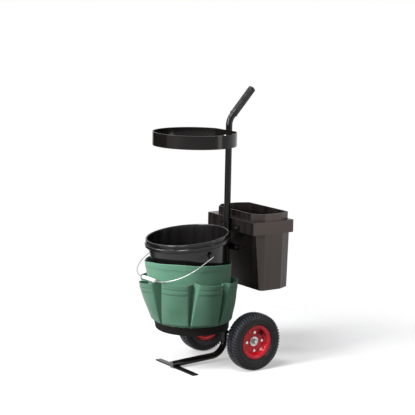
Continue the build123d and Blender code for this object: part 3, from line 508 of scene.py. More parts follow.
def running_length(path):
    """Length along a line of points, from 0 at its first point."""
    return np.concatenate([[0], np.cumsum(np.linalg.norm(np.diff(path, axis=0), axis=1))])


def unit(vectors):
    """Rows of an array, each at length 1."""
    return vectors / np.linalg.norm(vectors, axis=1, keepdims=True)


def full_turn(count):
    """Angles evenly round a full turn."""
    return np.linspace(0, 2 * np.pi, count, endpoint=False)


def bag_radius(z):
    """Radius of the bag's wall: a straight line from the base band's top to the sleeve's top."""
    share = (z - BASE_HIGH[2]) / (SLEEVE_HIGH[2] - BASE_HIGH[2])
    return BAG_BAND_R + (BAG_TOP_R - BAG_BAND_R) * share


def round_bag(azimuth, out, z):
    """Points beside the bag: azimuth 0 is the front, out is the distance from the wall.

    x = (R + out) sin a and y = rear - R - (R + out) cos a, so that the rear line stays against the post.
    """
    radius = bag_radius(z)
    reach = radius + out
    return np.stack([reach * np.sin(azimuth), BAG_REAR_Y - radius - reach * np.cos(azimuth), z], -1)


def step(value, low, high):
    """Smooth step of an array."""
    t = np.clip((value - low) / (high - low), 0, 1)
    return t * t * (3 - 2 * t)


def away_from_post(azimuth):
    """1 round the front and sides, 0 where the bag lies against the post."""
    return step(np.cos(azimuth), -0.97, -0.78)


WALL_ROWS, WALL_COLUMNS = 72, 320
WALL_LAP = 6 * MM
WALL_TOP_GAP = 3 * MM
# The sleeve's cloth is painted lighter than the pockets' cloth: painted light for the light its down-leaning
# faces catch less of.
WALL_PAINTED_LIGHT = 1.19


def bag_wall_surface(settings):
    """Sleeve: radius R(z) with slow ripples a (sin 5a + sin 9a), a folded hem and a top edge.

    The edge sags with the cosine of the angle from its peak and waves with sin 3a + sin 7a. Both fade
    downwards with the cube of the height. Ripples, hem and edge are in millimetres.
    """
    height = np.linspace(0, 1, WALL_ROWS)[:, None]
    azimuth = full_turn(WALL_COLUMNS)[None, :]
    low, high = BASE_HIGH[2] - WALL_LAP, SLEEVE_HIGH[2]
    free = away_from_post(azimuth)
    ripple = 0.9 * np.sin(5 * azimuth + 1.3 + 1.5 * height) + 0.6 * np.sin(9 * azimuth + 0.4 - 2 * height)
    hem = step(height, 0.885, 0.895) * 0.7
    out = (-0.5 + free * (ripple * step(height, 0.3, 1.0) + hem)) * MM
    turned = azimuth - settings.edge_peak
    sag = 16.0 * np.maximum(np.cos(turned), 0) ** 1.3 - 2.5 * np.sin(turned) - 13.0
    wave = (1.0 * np.sin(3 * azimuth + 0.5) + 0.8 * np.sin(7 * azimuth + 2.0) + sag) * MM
    z = low + (high - WALL_TOP_GAP - low) * height + wave * height**3
    points = round_bag(azimuth + 0 * height, out, z)
    faces, corner_rows, corner_columns = grid_faces(WALL_ROWS, WALL_COLUMNS, wrap=True)
    around = corner_columns / WALL_COLUMNS * 2 * np.pi * BAG_TOP_R
    uv = np.stack([around, corner_rows / (WALL_ROWS - 1) * (high - low)], -1)
    return points, faces, uv


BAND_COLUMNS = 240
BAND_TURN = 9 * MM
BAND_LIFT = 0.4 * MM
BAND_INSET = 0.3 * MM
FLOOR_ROWS = 14
# Piped edge of the band: distance inwards and height from the band's top, in millimetres
BAND_EDGE = ((0.0, -7.0), (-0.6, -6.0), (-1.6, -3.4), (-0.6, -1.2), (0.6, 0.0), (1.6, -1.5))


def band_surface():
    """Base band: a profile carried round the bag, from the floor's middle out, up and over the top edge.

    The floor is flat, a quarter round turns it up into an upright wall, and the wall ends in a piped edge.
    """
    azimuth = full_turn(BAND_COLUMNS)[None, :]
    low, high = BASE_LOW[2], BASE_HIGH[2]
    floor = low + BAND_LIFT
    quarter = np.linspace(0, np.pi / 2, 9)[1:-1]
    edge = np.array(BAND_EDGE) * MM
    inward = np.concatenate([
        np.linspace(1.0, 0.10, FLOOR_ROWS) * (bag_radius(low) - BAND_TURN) + BAND_TURN,
        BAND_TURN * (1 - np.sin(quarter)),
        [0.0, 0.0],
        edge[:, 0],
    ])[:, None]
    z = np.concatenate([
        np.full(FLOOR_ROWS, floor),
        floor + BAND_TURN * (1 - np.cos(quarter)),
        [low + BAND_TURN, (low + high) / 2],
        high + edge[:, 1],
    ])[:, None]
    free = away_from_post(azimuth)
    pucker = 0.5 * np.sin(24 * azimuth) * MM * step(z, low + BAND_TURN, high) * free
    bead = np.where(inward < 0, inward * free, inward)
    points = round_bag(azimuth + 0 * z, pucker - bead - BAND_INSET, z + 0 * azimuth)
    faces, corner_rows, corner_columns = grid_faces(len(inward), BAND_COLUMNS, wrap=True)
    around = corner_columns / BAND_COLUMNS * 2 * np.pi * BAG_BAND_R
    run = running_length(np.concatenate([inward, z], 1))
    uv = np.stack([around, run[corner_rows]], -1)
    return points, faces, uv


# Each pocket's mouth: share of the full depth, height over the pattern at its two ends in millimetres
POCKET_MOUTHS = (
    (0.96, 0.0, 1.0),
    (0.92, 1.0, -1.0),
    (0.98, -1.0, 0.5),
    (1.42, -12.0, 9.0),
    (1.00, 11.0, 6.0),
    (0.95, 13.0, 0.0),
    (0.97, 2.0, 0.0),
)
POCKET_SEAMS = (19 * MM, 36 * MM)
POCKET_ROWS = 76
POCKET_FOOT_ROWS = 8
POCKET_HEM_ROWS = 40
POCKET_COLUMNS = 73
# Share of the columns on each side of a pocket, and how far its seams and corners stay inside its pitch
POCKET_SIDE = 0.20
SEAM_INSET = radians(1.1)
CORNER_INSET = radians(1.7)
CORNER_DRAW = radians(4.6)
# Slack, hem and seams of a pocket's cloth
SLACK = 0.9 * MM
SLACK_WAVES = ((3.2, 5.0), (-4.6, 4.0), (6.4, 2.2))
HEM_RAISED = 1.2 * MM
HEM_ROOM = 1.15
SEAM_WIDTH = 2.0 * MM
POCKET_SUNK = 0.2 * MM
LEAN_PIVOT = 0.33
POCKET_SEED = 11
# Least and most droop of a pocket's mouth, in millimetres
DROOP = (2.0, 5.0)


def pocket_azimuths(settings):
    """Middle azimuth of each pocket, in the order of the CAD nodes."""
    first = -(len(POCKETS) // 2 + 1) + 0.5
    return settings.pocket_turn + (np.arange(len(POCKETS)) + first) * settings.pocket_pitch


def smooth_across(values):
    """Two passes of a 1-2-1 average along each row, which keep both ends."""
    for _ in range(2):
        wide = np.pad(values, ((0, 0), (1, 1)), mode="reflect", reflect_type="odd")
        values = (wide[:, :-2] + 2 * wide[:, 1:-1] + wide[:, 2:]) / 4
    return values


def pocket_outline(settings, lift, puff, depth):
    """One pocket at each height: side, bowed front, side, with the corners rounded.

    lift runs 0 to 1 from foot to mouth, and puff 0 to 1 over the turned-under foot. Across, the outline is
    a straight side out from the wall, a front d + b (1 - x^2) and a side back, smoothed by a moving average
    that keeps both ends. Returns azimuth offsets and distances out, rows x columns.
    """
    across = np.linspace(0, 1, POCKET_COLUMNS)[None, :]
    half = settings.pocket_pitch / 2
    wall = half - SEAM_INSET
    corner = half - CORNER_INSET - CORNER_DRAW * lift
    belly = 1 + 0.10 * np.sin(np.pi * lift)
    reach = (settings.pocket_foot + (depth - settings.pocket_foot) * lift**0.92 * belly) * puff
    into = np.clip(across / POCKET_SIDE, 0, 1)
    outof = np.clip((1 - across) / POCKET_SIDE, 0, 1)
    front = np.clip((across - POCKET_SIDE) / (1 - 2 * POCKET_SIDE), 0, 1) * 2 - 1
    azimuth = np.where(
        across < POCKET_SIDE,
        -wall + (wall - corner) * into,
        np.where(across > 1 - POCKET_SIDE, wall - (wall - corner) * outof, corner * front),
    )
    bow = settings.pocket_bow * (1 - front**2) * step(lift, 0, 0.5) * puff
    out = reach * np.minimum(into, outof) + bow * (np.minimum(into, outof) >= 1)
    return smooth_across(azimuth), smooth_across(out)


def pocket_sheet(settings, middle, number):
    """One sewn pocket: the outline lifted from foot to mouth, with slack folds, a droop and a doubled hem.

    The lowest rows turn under, puff = sin t and height h (1 - cos t) for t up to a right angle.
    Slack is s = sum of c sin(kx x + kz z + p) over a few slanted waves, largest halfway up.
    """
    rng = np.random.default_rng(POCKET_SEED + number)
    full, first_end, last_end = POCKET_MOUTHS[number]
    low, high = POCKET_LOW[2], POCKET_HIGH[2]
    turned = settings.pocket_turn_in / (high - low)
    quarter = np.linspace(0, np.pi / 2, POCKET_FOOT_ROWS)[:, None]
    hem_share = settings.hem / (high - low)
    hem_start = 1 - HEM_ROOM * hem_share
    upright = np.concatenate([
        np.linspace(turned, hem_start, POCKET_ROWS - POCKET_FOOT_ROWS - POCKET_HEM_ROWS + 1)[1:],
        np.linspace(hem_start, 1, POCKET_HEM_ROWS + 1)[1:],
    ])[:, None]
    lift = np.concatenate([turned * (1 - np.cos(quarter)), upright])
    puff = np.concatenate([np.sin(quarter), np.ones_like(upright)])
    across = np.linspace(-1, 1, POCKET_COLUMNS)[None, :]
    azimuth, out = pocket_outline(settings, lift, puff, settings.pocket_depth * full)
    face = step(1 - np.abs(across), 0.30, 0.55)
    phases = rng.uniform(0, 2 * np.pi, 3)
    slack = sum(np.sin(kx * across + kz * lift + p) for (kx, kz), p in zip(SLACK_WAVES, phases))
    out = out + SLACK * slack * face * np.sin(np.pi * lift)
    out = out + HEM_RAISED * step(lift, 1 - hem_share, 1 - hem_share + 0.012) * face
    below = (1 - lift) * (high - low)
    pulled = sum(np.exp(-(((below - seam) / SEAM_WIDTH) ** 2)) for seam in POCKET_SEAMS)
    out = out - settings.groove * pulled * face
    droop = rng.uniform(*DROOP) * MM * (1 - across**2) * face
    raised = (first_end * (1 - across) + last_end * (1 + across)) / 2 * MM
    z = low + (high - low) * lift + (raised - droop) * lift**3
    leaning = settings.pocket_lean * (lift - LEAN_PIVOT)
    return azimuth + middle + leaning, out - POCKET_SUNK, z


STITCH_SIDES = 6
STITCH_RADIUS = 0.7 * MM
STITCH_GAP = 1.4 * MM
STITCH_RAISED = 0.15 * MM
# Where the seams run: shares of a pocket's columns, and the wall's row as a share of its height
STITCH_SPAN = (0.24, 0.76)
EDGE_SEAM = 0.915
EDGE_SEAM_REAR = 12 * MM
THREAD_DARKER = 0.42


def stitch_solid():
    """One stitch along X: a spindle of unit length and radius in 5 rings, with two quads over each end."""
    along = np.array([-0.5, -0.36, 0.0, 0.36, 0.5])
    girth = np.array([0.25, 0.85, 1.0, 0.85, 0.25])
    turn = full_turn(STITCH_SIDES)
    rings = np.stack([
        np.repeat(along[:, None], STITCH_SIDES, 1),
        girth[:, None] * np.cos(turn)[None, :],
        girth[:, None] * np.sin(turn)[None, :],
    ], -1)
    faces, _, _ = grid_faces(len(along), STITCH_SIDES, wrap=True)
    caps = np.array([[5, 4, 3, 2], [5, 2, 1, 0], [24, 25, 26, 27], [24, 27, 28, 29]])
    return rings.reshape(-1, 3), np.concatenate([faces, caps])


def lay_stitches(starts, ends, outward):
    """Place the stitch between each start and end, raised along outward. All arrays are n x 3."""
    base, base_faces = stitch_solid()
    run = ends - starts
    size = np.linalg.norm(run, axis=1, keepdims=True)
    x_axis = run / size
    z_axis = unit(outward - (outward * x_axis).sum(1, keepdims=True) * x_axis)
    axes = np.stack([x_axis, np.cross(z_axis, x_axis), z_axis], 1)
    scale = np.concatenate([size, np.full((len(size), 2), STITCH_RADIUS)], 1)
    local = base[None] * scale[:, None]
    points = np.einsum("nvk,nkd->nvd", local, axes) + ((starts + ends) / 2)[:, None]
    faces = base_faces[None] + (np.arange(len(starts)) * len(base))[:, None, None]
    return points.reshape(-1, 3), faces.reshape(-1, 4)


def stitches_along(path, stitch):
    """Even stitches along a line of points: start and end of each, from the line's running length."""
    run = running_length(path)
    pitch = stitch + STITCH_GAP
    begin = np.arange(STITCH_GAP, run[-1] - pitch, pitch)

    def at(places):
        return np.stack([np.interp(places, run, path[:, k]) for k in range(3)], 1)

    return at(begin), at(begin + stitch)


def from_axis(points):
    """Direction from the bag's middle line, level."""
    z = points[:, 2]
    return unit(points - np.stack([0 * z, BAG_REAR_Y - bag_radius(z), z], 1))


def arc_through(first, middle, last, count):
    """Points of the circle through three points: its centre is where the two chords' mid-lines cross."""
    first, middle, last = (np.array(v, dtype=float) for v in (first, middle, last))
    sides = np.stack([middle - first, last - first]) * 2
    squares = np.array([middle @ middle - first @ first, last @ last - first @ first])
    centre = np.linalg.solve(sides, squares)
    radius = np.linalg.norm(first - centre)
    angles = np.unwrap([np.arctan2(*(v - centre)[::-1]) for v in (first, middle, last)])
    turn = np.linspace(angles[0], angles[2], count)
    return centre + radius * np.stack([np.cos(turn), np.sin(turn)], 1)


# Rounding of a tyre's shoulder: points on each side of its edge, and passes of an average over them
SHOULDER_SPAN = 24
SHOULDER_PASSES = 60
# Rows of the tread, in millimetres from its middle along the section, and round the lugs' lower ends
TREAD_ROWS = (0, 2, 4, 5.4, 6.0, 10.0, 10.6, 13, 16, 19, 22, 24, 25.2, 26.4, 27.8, 29.5, 31.5, 33.5)
SKIRT_ROWS = (-3.6, -2.0, -0.9, -0.1, 0.7, 2.0, 3.6)
# Groove beside the middle rib: its four corners, the middles of its flanks and its depth, in millimetres,
# and the depth of the gaps in the rib
GROOVE = (5.4, 6.0, 10.0, 10.6)
GROOVE_FROM, GROOVE_TO = 5.7, 10.3
GROOVE_DEPTH = 3.0
RIB_GAP = 1.4
# Share of the lugs' depth that is left at their lower ends, and where it starts to fall
SKIRT_SHARE = 0.45
SKIRT_FALL = 26
# Rings on the side wall: radii between which they lie, depth in millimetres and number
RING_RADII = (81.0 * MM, 66.5 * MM)
RING_DEPTH = 0.28
RINGS = 5
# One lug and its gap: places along the pitch, and 1 where the gap is cut
LUG_PLACES = (0.0, 0.05, 0.42, 0.47, 0.60, 0.73, 0.87)
LUG_GAPS = (0.0, 1.0, 1.0, 0.0, 0.0, 0.0, 0.0)
BEAD_STEP = 2.2 * MM
# Rows of the side wall: from the lugs to the rings, over the rings, and on to the bead's toe
SIDE_ROWS = (9, 36, 14)
SHARP_EDGE = radians(32)


def tyre_half_section(tyre, wheel_r, half_w):
    """Outer half section as (radius, half width) from the tread's middle to the bead's toe, closely spaced.

    A tread arc, a bulging wall arc, a straight stretch on the rim's flange, a quarter round and the
    bead's seat.
    """
    curl_r = tyre.bead_r + tyre.bead_curl
    curl_half = tyre.bead_half - tyre.bead_curl
    edge = (tyre.shoulder_r, tyre.shoulder_half)
    tread = arc_through((tyre.shoulder_r, -tyre.shoulder_half), (wheel_r, 0), edge, 241)
    tread = tread[len(tread) // 2 :]
    wall = arc_through(edge, (tyre.bulge_r, half_w), (tyre.bead_top_r, tyre.bead_half), 240)
    turn = np.linspace(0, np.pi / 2, 40)
    curl = np.stack([curl_r - tyre.bead_curl * np.sin(turn), curl_half + tyre.bead_curl * np.cos(turn)], 1)
    toe = np.array([[tyre.bead_r, tyre.bead_toe]])
    line = np.concatenate([tread, wall[1:], curl, toe])
    start, stop = len(tread) - SHOULDER_SPAN, len(tread) + SHOULDER_SPAN
    for _ in range(SHOULDER_PASSES):
        line[start:stop] = (line[start - 1 : stop - 1] + line[start + 1 : stop + 1]) / 2
    return line


def tyre_surface(tyre, centre, outboard, wheel_r, half_w):
    """Closed tyre: the section carried round the wheel, with lugs, grooves and rings cut along its normal.

    A point is centre + (o x, -o r sin t, r cos t), with o 1 on the right wheel and -1 on the left. The depth
    cut at running length u from the tread's middle is d1(u) in the gaps and d0(u) on the lugs. Each row is
    turned by its lean, so that the lugs' sides follow the grid's columns. Also returns 1 on the lugs' faces,
    a half on the middle rib and 0 in the gaps and on the walls: the mask of the tread's painted highlight,
    which leaves the gaps as painted shade.
    """
    line = tyre_half_section(tyre, wheel_r, half_w)
    run = running_length(line) / MM
    skirt_end = np.interp(tyre.shoulder_r, line[::-1, 0], run[::-1]) + tyre.lug_skirt / MM
    ring_start, ring_end = (np.interp(r, line[::-1, 0], run[::-1]) for r in RING_RADII)
    rows = np.concatenate([
        TREAD_ROWS,
        skirt_end + np.array(SKIRT_ROWS),
        np.linspace(skirt_end + 5.2, ring_start - 0.6, SIDE_ROWS[0]),
        np.linspace(ring_start, ring_end, SIDE_ROWS[1]),
        np.linspace(ring_end + 1.5, run[-1], SIDE_ROWS[2]),
    ])
    on_rib, on_lugs = rows < GROOVE_FROM, rows > GROOVE_TO
    below = rows > skirt_end + 0.3

    depth = tyre.lug_depth / MM
    places = [0, *GROOVE, SKIRT_FALL, skirt_end, skirt_end + 1]
    depths = [RIB_GAP, RIB_GAP, GROOVE_DEPTH, GROOVE_DEPTH, 1, 1, SKIRT_SHARE, SKIRT_SHARE]
    gap = np.interp(rows, places, depths)
    gap = np.where(on_lugs, gap * depth, gap)
    lug = np.where(on_rib | on_lugs, 0.0, GROOVE_DEPTH)
    fade = SKIRT_SHARE * depth * (1 - step(rows, skirt_end + 2, skirt_end + 16))
    ring_share = (rows - ring_start) / (ring_end - ring_start)
    rings = RING_DEPTH * (1 - np.cos(ring_share * 2 * RINGS * np.pi))
    wall = fade + np.where((ring_share > 0) & (ring_share < 1), rings, 0)
    gap = np.where(below, wall, gap)
    lug = np.where(below, wall, lug)
    # 1 on the lugs' faces and a half on the rib: where the tread's painted highlight goes
    top = np.where(below, 0.0, np.where(on_lugs, 1.0, np.where(on_rib, 0.5, 0.0)))

    section = np.stack([np.interp(rows, run, line[:, k]) for k in range(2)], 1)
    ahead = np.gradient(section, axis=0)
    normal = unit(np.stack([ahead[:, 1], -ahead[:, 0]], 1))
    foot = (tyre.bead_top_r - BEAD_STEP, tyre.bead_half - tyre.wall)
    waist = ((foot[0] + tyre.cavity_top_r) / 2, half_w - tyre.wall)
    inner = arc_through(foot, waist, (tyre.cavity_top_r, 0), 10)
    inner_rows = 2 * len(inner) - 1

    def both_sides(values):
        """Values down one side mirrored to the other, with 0 on the inside."""
        return np.concatenate([values[:0:-1], values, np.zeros(inner_rows)])

    flip = np.array([1.0, -1.0])
    section = np.concatenate([section[:0:-1] * flip, section, inner, inner[-2::-1] * flip])
    normal = np.concatenate([normal[:0:-1] * flip, normal, np.zeros((inner_rows, 2))])
    gap, lug, top = both_sides(gap) * MM, both_sides(lug) * MM, both_sides(top)
    lean = tyre.lug_lean * step(rows, GROOVE[1], skirt_end) / wheel_r
    half_pitch = np.pi / tyre.lugs
    shift = np.concatenate([lean[:0:-1] + half_pitch * step(rows, 0, GROOVE[2])[:0:-1], lean])
    shift = np.concatenate([shift, np.linspace(shift[-1], shift[0], inner_rows + 2)[1:-1]])

    pitch = 2 * half_pitch
    round_wheel = (np.arange(tyre.lugs)[:, None] * pitch + np.array(LUG_PLACES) * pitch).ravel()
    turn = round_wheel[None, :] + shift[:, None]
    share = np.tile(LUG_GAPS, tyre.lugs)[None, :]
    cut = gap[:, None] * share + lug[:, None] * (1 - share)
    radius = section[:, :1] - normal[:, :1] * cut
    across = section[:, 1:] - normal[:, 1:] * cut
    points = np.stack([
        centre[0] + outboard * across,
        centre[1] - outboard * radius * np.sin(turn),
        centre[2] + radius * np.cos(turn),
    ], -1)
    faces, _, _ = grid_faces(len(section) + 1, turn.shape[1], wrap=True)
    return points, faces % (len(section) * turn.shape[1]), top[:, None] * (1 - share)


WELD_RADIUS = 1.7 * MM
WELD_SIDES = 10
WELD_SEED = 40
# Half widths of the foot tube's seat, of the post at the axle's notch and of a strap's weld
SEAT_HALF = 8.6 * MM
NOTCH_HALF = 9.8 * MM
STRAP_WELD_HALF = 8 * MM


def weld_bead(path, seed):
    """A weld bead: a flat-ended tube along a line of points whose radius ripples, r (1 + 0.18 sin k s)."""
    rng = np.random.default_rng(seed)
    ahead = unit(np.gradient(path, axis=0))
    guide = np.where(np.abs(ahead[:, :1]) > 0.9, [[0.0, 0.0, 1.0]], [[1.0, 0.0, 0.0]])
    first = unit(np.cross(ahead, guide))
    second = np.cross(ahead, first)
    turn = full_turn(WELD_SIDES)
    ripple = 1 + 0.18 * np.sin(np.arange(len(path)) * 2.1 + rng.uniform(0, 6))
    ripple = ripple + rng.uniform(-0.06, 0.06, len(path))
    ring = first[:, None] * np.cos(turn)[None, :, None] + second[:, None] * np.sin(turn)[None, :, None]
    points = path[:, None] + ring * (WELD_RADIUS * ripple)[:, None, None]
    faces, _, _ = grid_faces(len(path), WELD_SIDES, wrap=True)
    near_end = list(range(WELD_SIDES))
    far_end = [corner + (len(path) - 1) * WELD_SIDES for corner in near_end]
    return points, faces.tolist() + [near_end[::-1], far_end]


# Studio


def stage_sheet(name, corners, material):
    """A flat sheet of the studio, which is no part of the trolley."""
    mesh = bpy.data.meshes.new(name)
    mesh.from_pydata(corners, [], [(0, 1, 2, 3)])
    mesh.materials.append(material)
    sheet = bpy.data.objects.new(name, mesh)
    bpy.context.scene.collection.objects.link(sheet)
    return sheet


def white_surround(strength):
    """World: an even sky of that strength, which shows as plain white to the camera and in reflections."""
    world = bpy.data.worlds.new("studio_sky")
    world.use_nodes = True
    nodes, link = world.node_tree.nodes, world.node_tree.links.new
    sky, seen = nodes["Background"], nodes.new("ShaderNodeBackground")
    for shader, level in ((sky, strength), (seen, 1.0)):
        shader.inputs["Color"].default_value = (1, 1, 1, 1)
        shader.inputs["Strength"].default_value = level
    rays = nodes.new("ShaderNodeLightPath")
    shown = rays.outputs["Is Camera Ray"]
    for ray in ("Is Glossy Ray", "Is Transmission Ray"):
        either = nodes.new("ShaderNodeMath")
        either.operation = "MAXIMUM"
        link(shown, either.inputs[0])
        link(rays.outputs[ray], either.inputs[1])
        shown = either.outputs[0]
    blend = nodes.new("ShaderNodeMixShader")
    for place, socket in enumerate((shown, sky.outputs[0], seen.outputs[0])):
        link(socket, blend.inputs[place])
    link(blend.outputs[0], nodes["World Output"].inputs["Surface"])
    return world


# Operators


class TROLLEY_OT_bag_wall(bpy.types.Operator):
    """Make the bag's woven sleeve"""

    bl_idname = "trolley.bag_wall"
    bl_label = "Bag wall"

    def execute(self, context):
        settings = context.scene.trolley_bag
        points, faces, uv = bag_wall_surface(settings)
        # Same cloth as the pockets, painted lighter to make up for the sleeve getting less light
        cloth = woven_cloth("wall_cloth_painted_light", tinted(context.scene.trolley_colours.cloth, WALL_PAINTED_LIGHT))
        piece = add_piece("bag_wall", points, faces, cloth, uv=uv)
        thicken(piece, settings.cloth)
        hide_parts("bag_sleeve")
        return {"FINISHED"}


class TROLLEY_OT_bag_band(bpy.types.Operator):
    """Make the bag's dark base band and floor"""

    bl_idname = "trolley.bag_band"
    bl_label = "Bag base band"

    def execute(self, context):
        points, faces, uv = band_surface()
        tint = tuple(context.scene.trolley_colours.band)
        cloth = woven_cloth("band_cloth", tint, pitch=2.2 * MM, sheen=0.02, shine=0.10)
        piece = add_piece("bag_band", points, faces, cloth, uv=uv)
        pole = piece.modifiers.new("pole", "WELD")
        pole.merge_threshold = 0.02 * MM
        thicken(piece, context.scene.trolley_bag.cloth)
        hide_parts("bag_base")
        return {"FINISHED"}


class TROLLEY_OT_bag_pockets(bpy.types.Operator):
    """Make the sewn pockets round the bag"""

    bl_idname = "trolley.bag_pockets"
    bl_label = "Bag pockets"

    def execute(self, context):
        settings = context.scene.trolley_bag
        cloth = woven_cloth("pocket_cloth", tuple(context.scene.trolley_colours.cloth))
        faces, corner_rows, corner_columns = grid_faces(POCKET_ROWS, POCKET_COLUMNS)
        width = settings.pocket_pitch * BAG_TOP_R + 2 * settings.pocket_depth
        uv = np.stack([
            corner_columns / (POCKET_COLUMNS - 1) * width,
            corner_rows / (POCKET_ROWS - 1) * (POCKET_HIGH[2] - POCKET_LOW[2]),
        ], -1)
        for number, middle in enumerate(pocket_azimuths(settings)):
            azimuth, out, z = pocket_sheet(settings, middle, number)
            points = round_bag(azimuth, out, z)
            name = f"bag_pocket_{number + 1}"
            piece = add_piece(name, points, faces, cloth, uv=uv)
            thicken(piece, settings.cloth)
            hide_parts(POCKETS[number])
        return {"FINISHED"}


class TROLLEY_OT_bag_stitching(bpy.types.Operator):
    """Sew the hems of the pockets and of the bag's top edge"""

    bl_idname = "trolley.bag_stitching"
    bl_label = "Bag stitching"

    def execute(self, context):
        settings = context.scene.trolley_bag
        seams = []
        first, last = (int(share * POCKET_COLUMNS) for share in STITCH_SPAN)
        columns = np.arange(first, last + 1)
        for number, middle in enumerate(pocket_azimuths(settings)):
            azimuth, out, z = pocket_sheet(settings, middle, number)
            for below in POCKET_SEAMS:
                row = POCKET_ROWS - 1 - int(round(below / (HEM_ROOM * settings.hem) * POCKET_HEM_ROWS))
                path = round_bag(azimuth[row, columns], out[row, columns] + STITCH_RAISED, z[row, columns])
                seams.append(stitches_along(path, settings.stitch))
        wall, _, _ = bag_wall_surface(settings)
        edge = wall[round(EDGE_SEAM * (len(wall) - 1))]
        edge = edge + from_axis(edge) * STITCH_RAISED
        edge = edge[edge[:, 1] < BAG_REAR_Y - EDGE_SEAM_REAR]
        turn = np.argsort(np.arctan2(edge[:, 0], BAG_REAR_Y - BAG_TOP_R - edge[:, 1]))
        seams.append(stitches_along(edge[turn], settings.stitch))
        starts, ends = (np.concatenate(places) for places in zip(*seams))
        points, faces = lay_stitches(starts, ends, from_axis((starts + ends) / 2))
        sewn = thread("bag_thread", tinted(context.scene.trolley_colours.cloth, THREAD_DARKER))
        add_piece("bag_stitching", points, faces, sewn)
        return {"FINISHED"}


class TROLLEY_OT_tyres(bpy.types.Operator):
    """Make the two tyres with their lugs and wall rings"""

    bl_idname = "trolley.tyres"
    bl_label = "Tyres"

    def execute(self, context):
        tint = tuple(context.scene.trolley_colours.tyre)
        for side, outboard in zip(WHEEL_SIDES, (1, -1)):
            low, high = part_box(f"{side}_tyre")
            centre = middle_of(f"{side}_tyre")
            sizes = (high[2] - low[2]) / 2, (high[0] - low[0]) / 2
            points, faces, lug_sheen_mask = tyre_surface(context.scene.trolley_tyre, centre, outboard, *sizes)
            rubber = tyre_rubber(f"{side}_tyre_rubber", tint, centre)
            piece = add_piece(f"{side}_tyre_tread", points, faces, rubber, f"{side}_wheel")
            # Lug faces, for the painted highlight on the tread and the painted shade in its gaps
            painted_sheen_and_wear = piece.data.attributes.new("lug", "FLOAT", "POINT")
            painted_sheen_and_wear.data.foreach_set("value", lug_sheen_mask.astype(np.float32).ravel())
            piece.data.set_sharp_from_angle(angle=SHARP_EDGE)
            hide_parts(f"{side}_tyre")
        return {"FINISHED"}


class TROLLEY_OT_weld_beads(bpy.types.Operator):
    """Run weld beads where the axle, foot bar and straps meet the tube"""

    bl_idname = "trolley.weld_beads"
    bl_label = "Weld beads"

    def execute(self, context):
        paint = bpy.data.materials["frame_paint"]
        turn = np.linspace(0, np.pi, 22)
        along = np.linspace(BAR_LOW[1], BAR_HIGH[1], 26)
        across = np.linspace(-STRAP_WELD_HALF, STRAP_WELD_HALF, 20)
        rear = POST_Y + np.sqrt(TUBE_R**2 - across**2) + 0.4 * MM
        lines = []
        for side in (1, -1):
            # Along the foot tube's seat on the bar, then over the front half of the axle beside the post
            beside, above = side * SEAT_HALF, BAR_HIGH[2] + 0.2 * MM
            lines.append(np.stack([beside + 0 * along, along, above + 0 * along], 1))
            lines.append(np.stack([
                side * (NOTCH_HALF + 0.8 * MM * np.sin(turn)),
                AXLE_CENTRE[1] - 3.2 * MM - 1.5 * MM * np.sin(turn),
                AXLE_CENTRE[2] + (AXLE_R + 0.3 * MM) * np.cos(turn),
            ], 1))
        # Round the rear of the post, under the lower strap and over the upper one
        for z in (STRAP_LOW[2] - 0.6 * MM, STRAP_HIGH[2] + 0.6 * MM):
            lines.append(np.stack([across, rear, z + 0 * across], 1))
        for number, line in enumerate(lines):
            points, faces = weld_bead(line, WELD_SEED + number)
            add_piece(f"weld_bead_{number + 1}", points, faces, paint)
        return {"FINISHED"}


class TROLLEY_OT_finishes(bpy.types.Operator):
    """Give every CAD node its finish"""

    bl_idname = "trolley.finishes"
    bl_label = "Finishes"

    def execute(self, context):
        tints = context.scene.trolley_colours
        black, zinc = tuple(tints.paint), tuple(tints.zinc)
        bin_plastic = moulded_plastic(
            "bin_plastic", tuple(tints.bin), roughness=0.36, shine=0.58, sheen_and_wear_lift=0.008, cast=WARM
        )
        by_slot = {
            "black_paint": gloss_paint("frame_paint", black),
            "grip_rubber": soft_rubber("grip_rubber", (0.006, 0.006, 0.0066), roughness=0.24, shine=0.26),
            "grey_plastic": moulded_plastic("plug_plastic", (0.075, 0.075, 0.082), roughness=0.36),
            "zinc": zinc_plate("zinc_plate", zinc),
            "wire_zinc": zinc_plate("wire_zinc", tinted(zinc, 0.85), grain=420.0),
            "bearing_steel": zinc_plate("bearing_steel", (0.50, 0.50, 0.51), grain=700.0),
            "red_paint": gloss_paint("rim_paint", tuple(tints.rim), roughness=0.22, shine=0.10, coat=0.35),
            "tube_rubber": soft_rubber("tube_rubber", (0.02, 0.02, 0.02)),
            "valve_rubber": soft_rubber("valve_rubber", (0.016, 0.016, 0.016)),
            "bucket_plastic": moulded_plastic(
                "bucket_plastic", tuple(tints.bucket), roughness=0.18, shine=0.42, sheen_and_wear_lift=0.005
            ),
            "bin_plastic": bin_plastic,
            "white_plastic": clear_gloss("bail_grip_plastic", tuple(tints.grip)),
        }
        by_node = {
            "bin_spacers": bin_plastic,
            "bucket_spacers": bin_plastic,
            "axle": plated_ends("axle_finish", black, zinc, AXLE_BARE),
            "axle_nuts": zinc_plate("dark_nuts", tinted(zinc, 0.40)),
            "bin_bolts": zinc_plate("dull_bolts", tinted(zinc, 0.30)),
        }
        for part in frame["record"]["subparts"]:
            node = NODES[part["node"]]
            finish = by_node.get(part["node"], by_slot.get(part["material_slot"]))
            if finish:
                node.data.materials.clear()
                node.data.materials.append(finish)
        return {"FINISHED"}


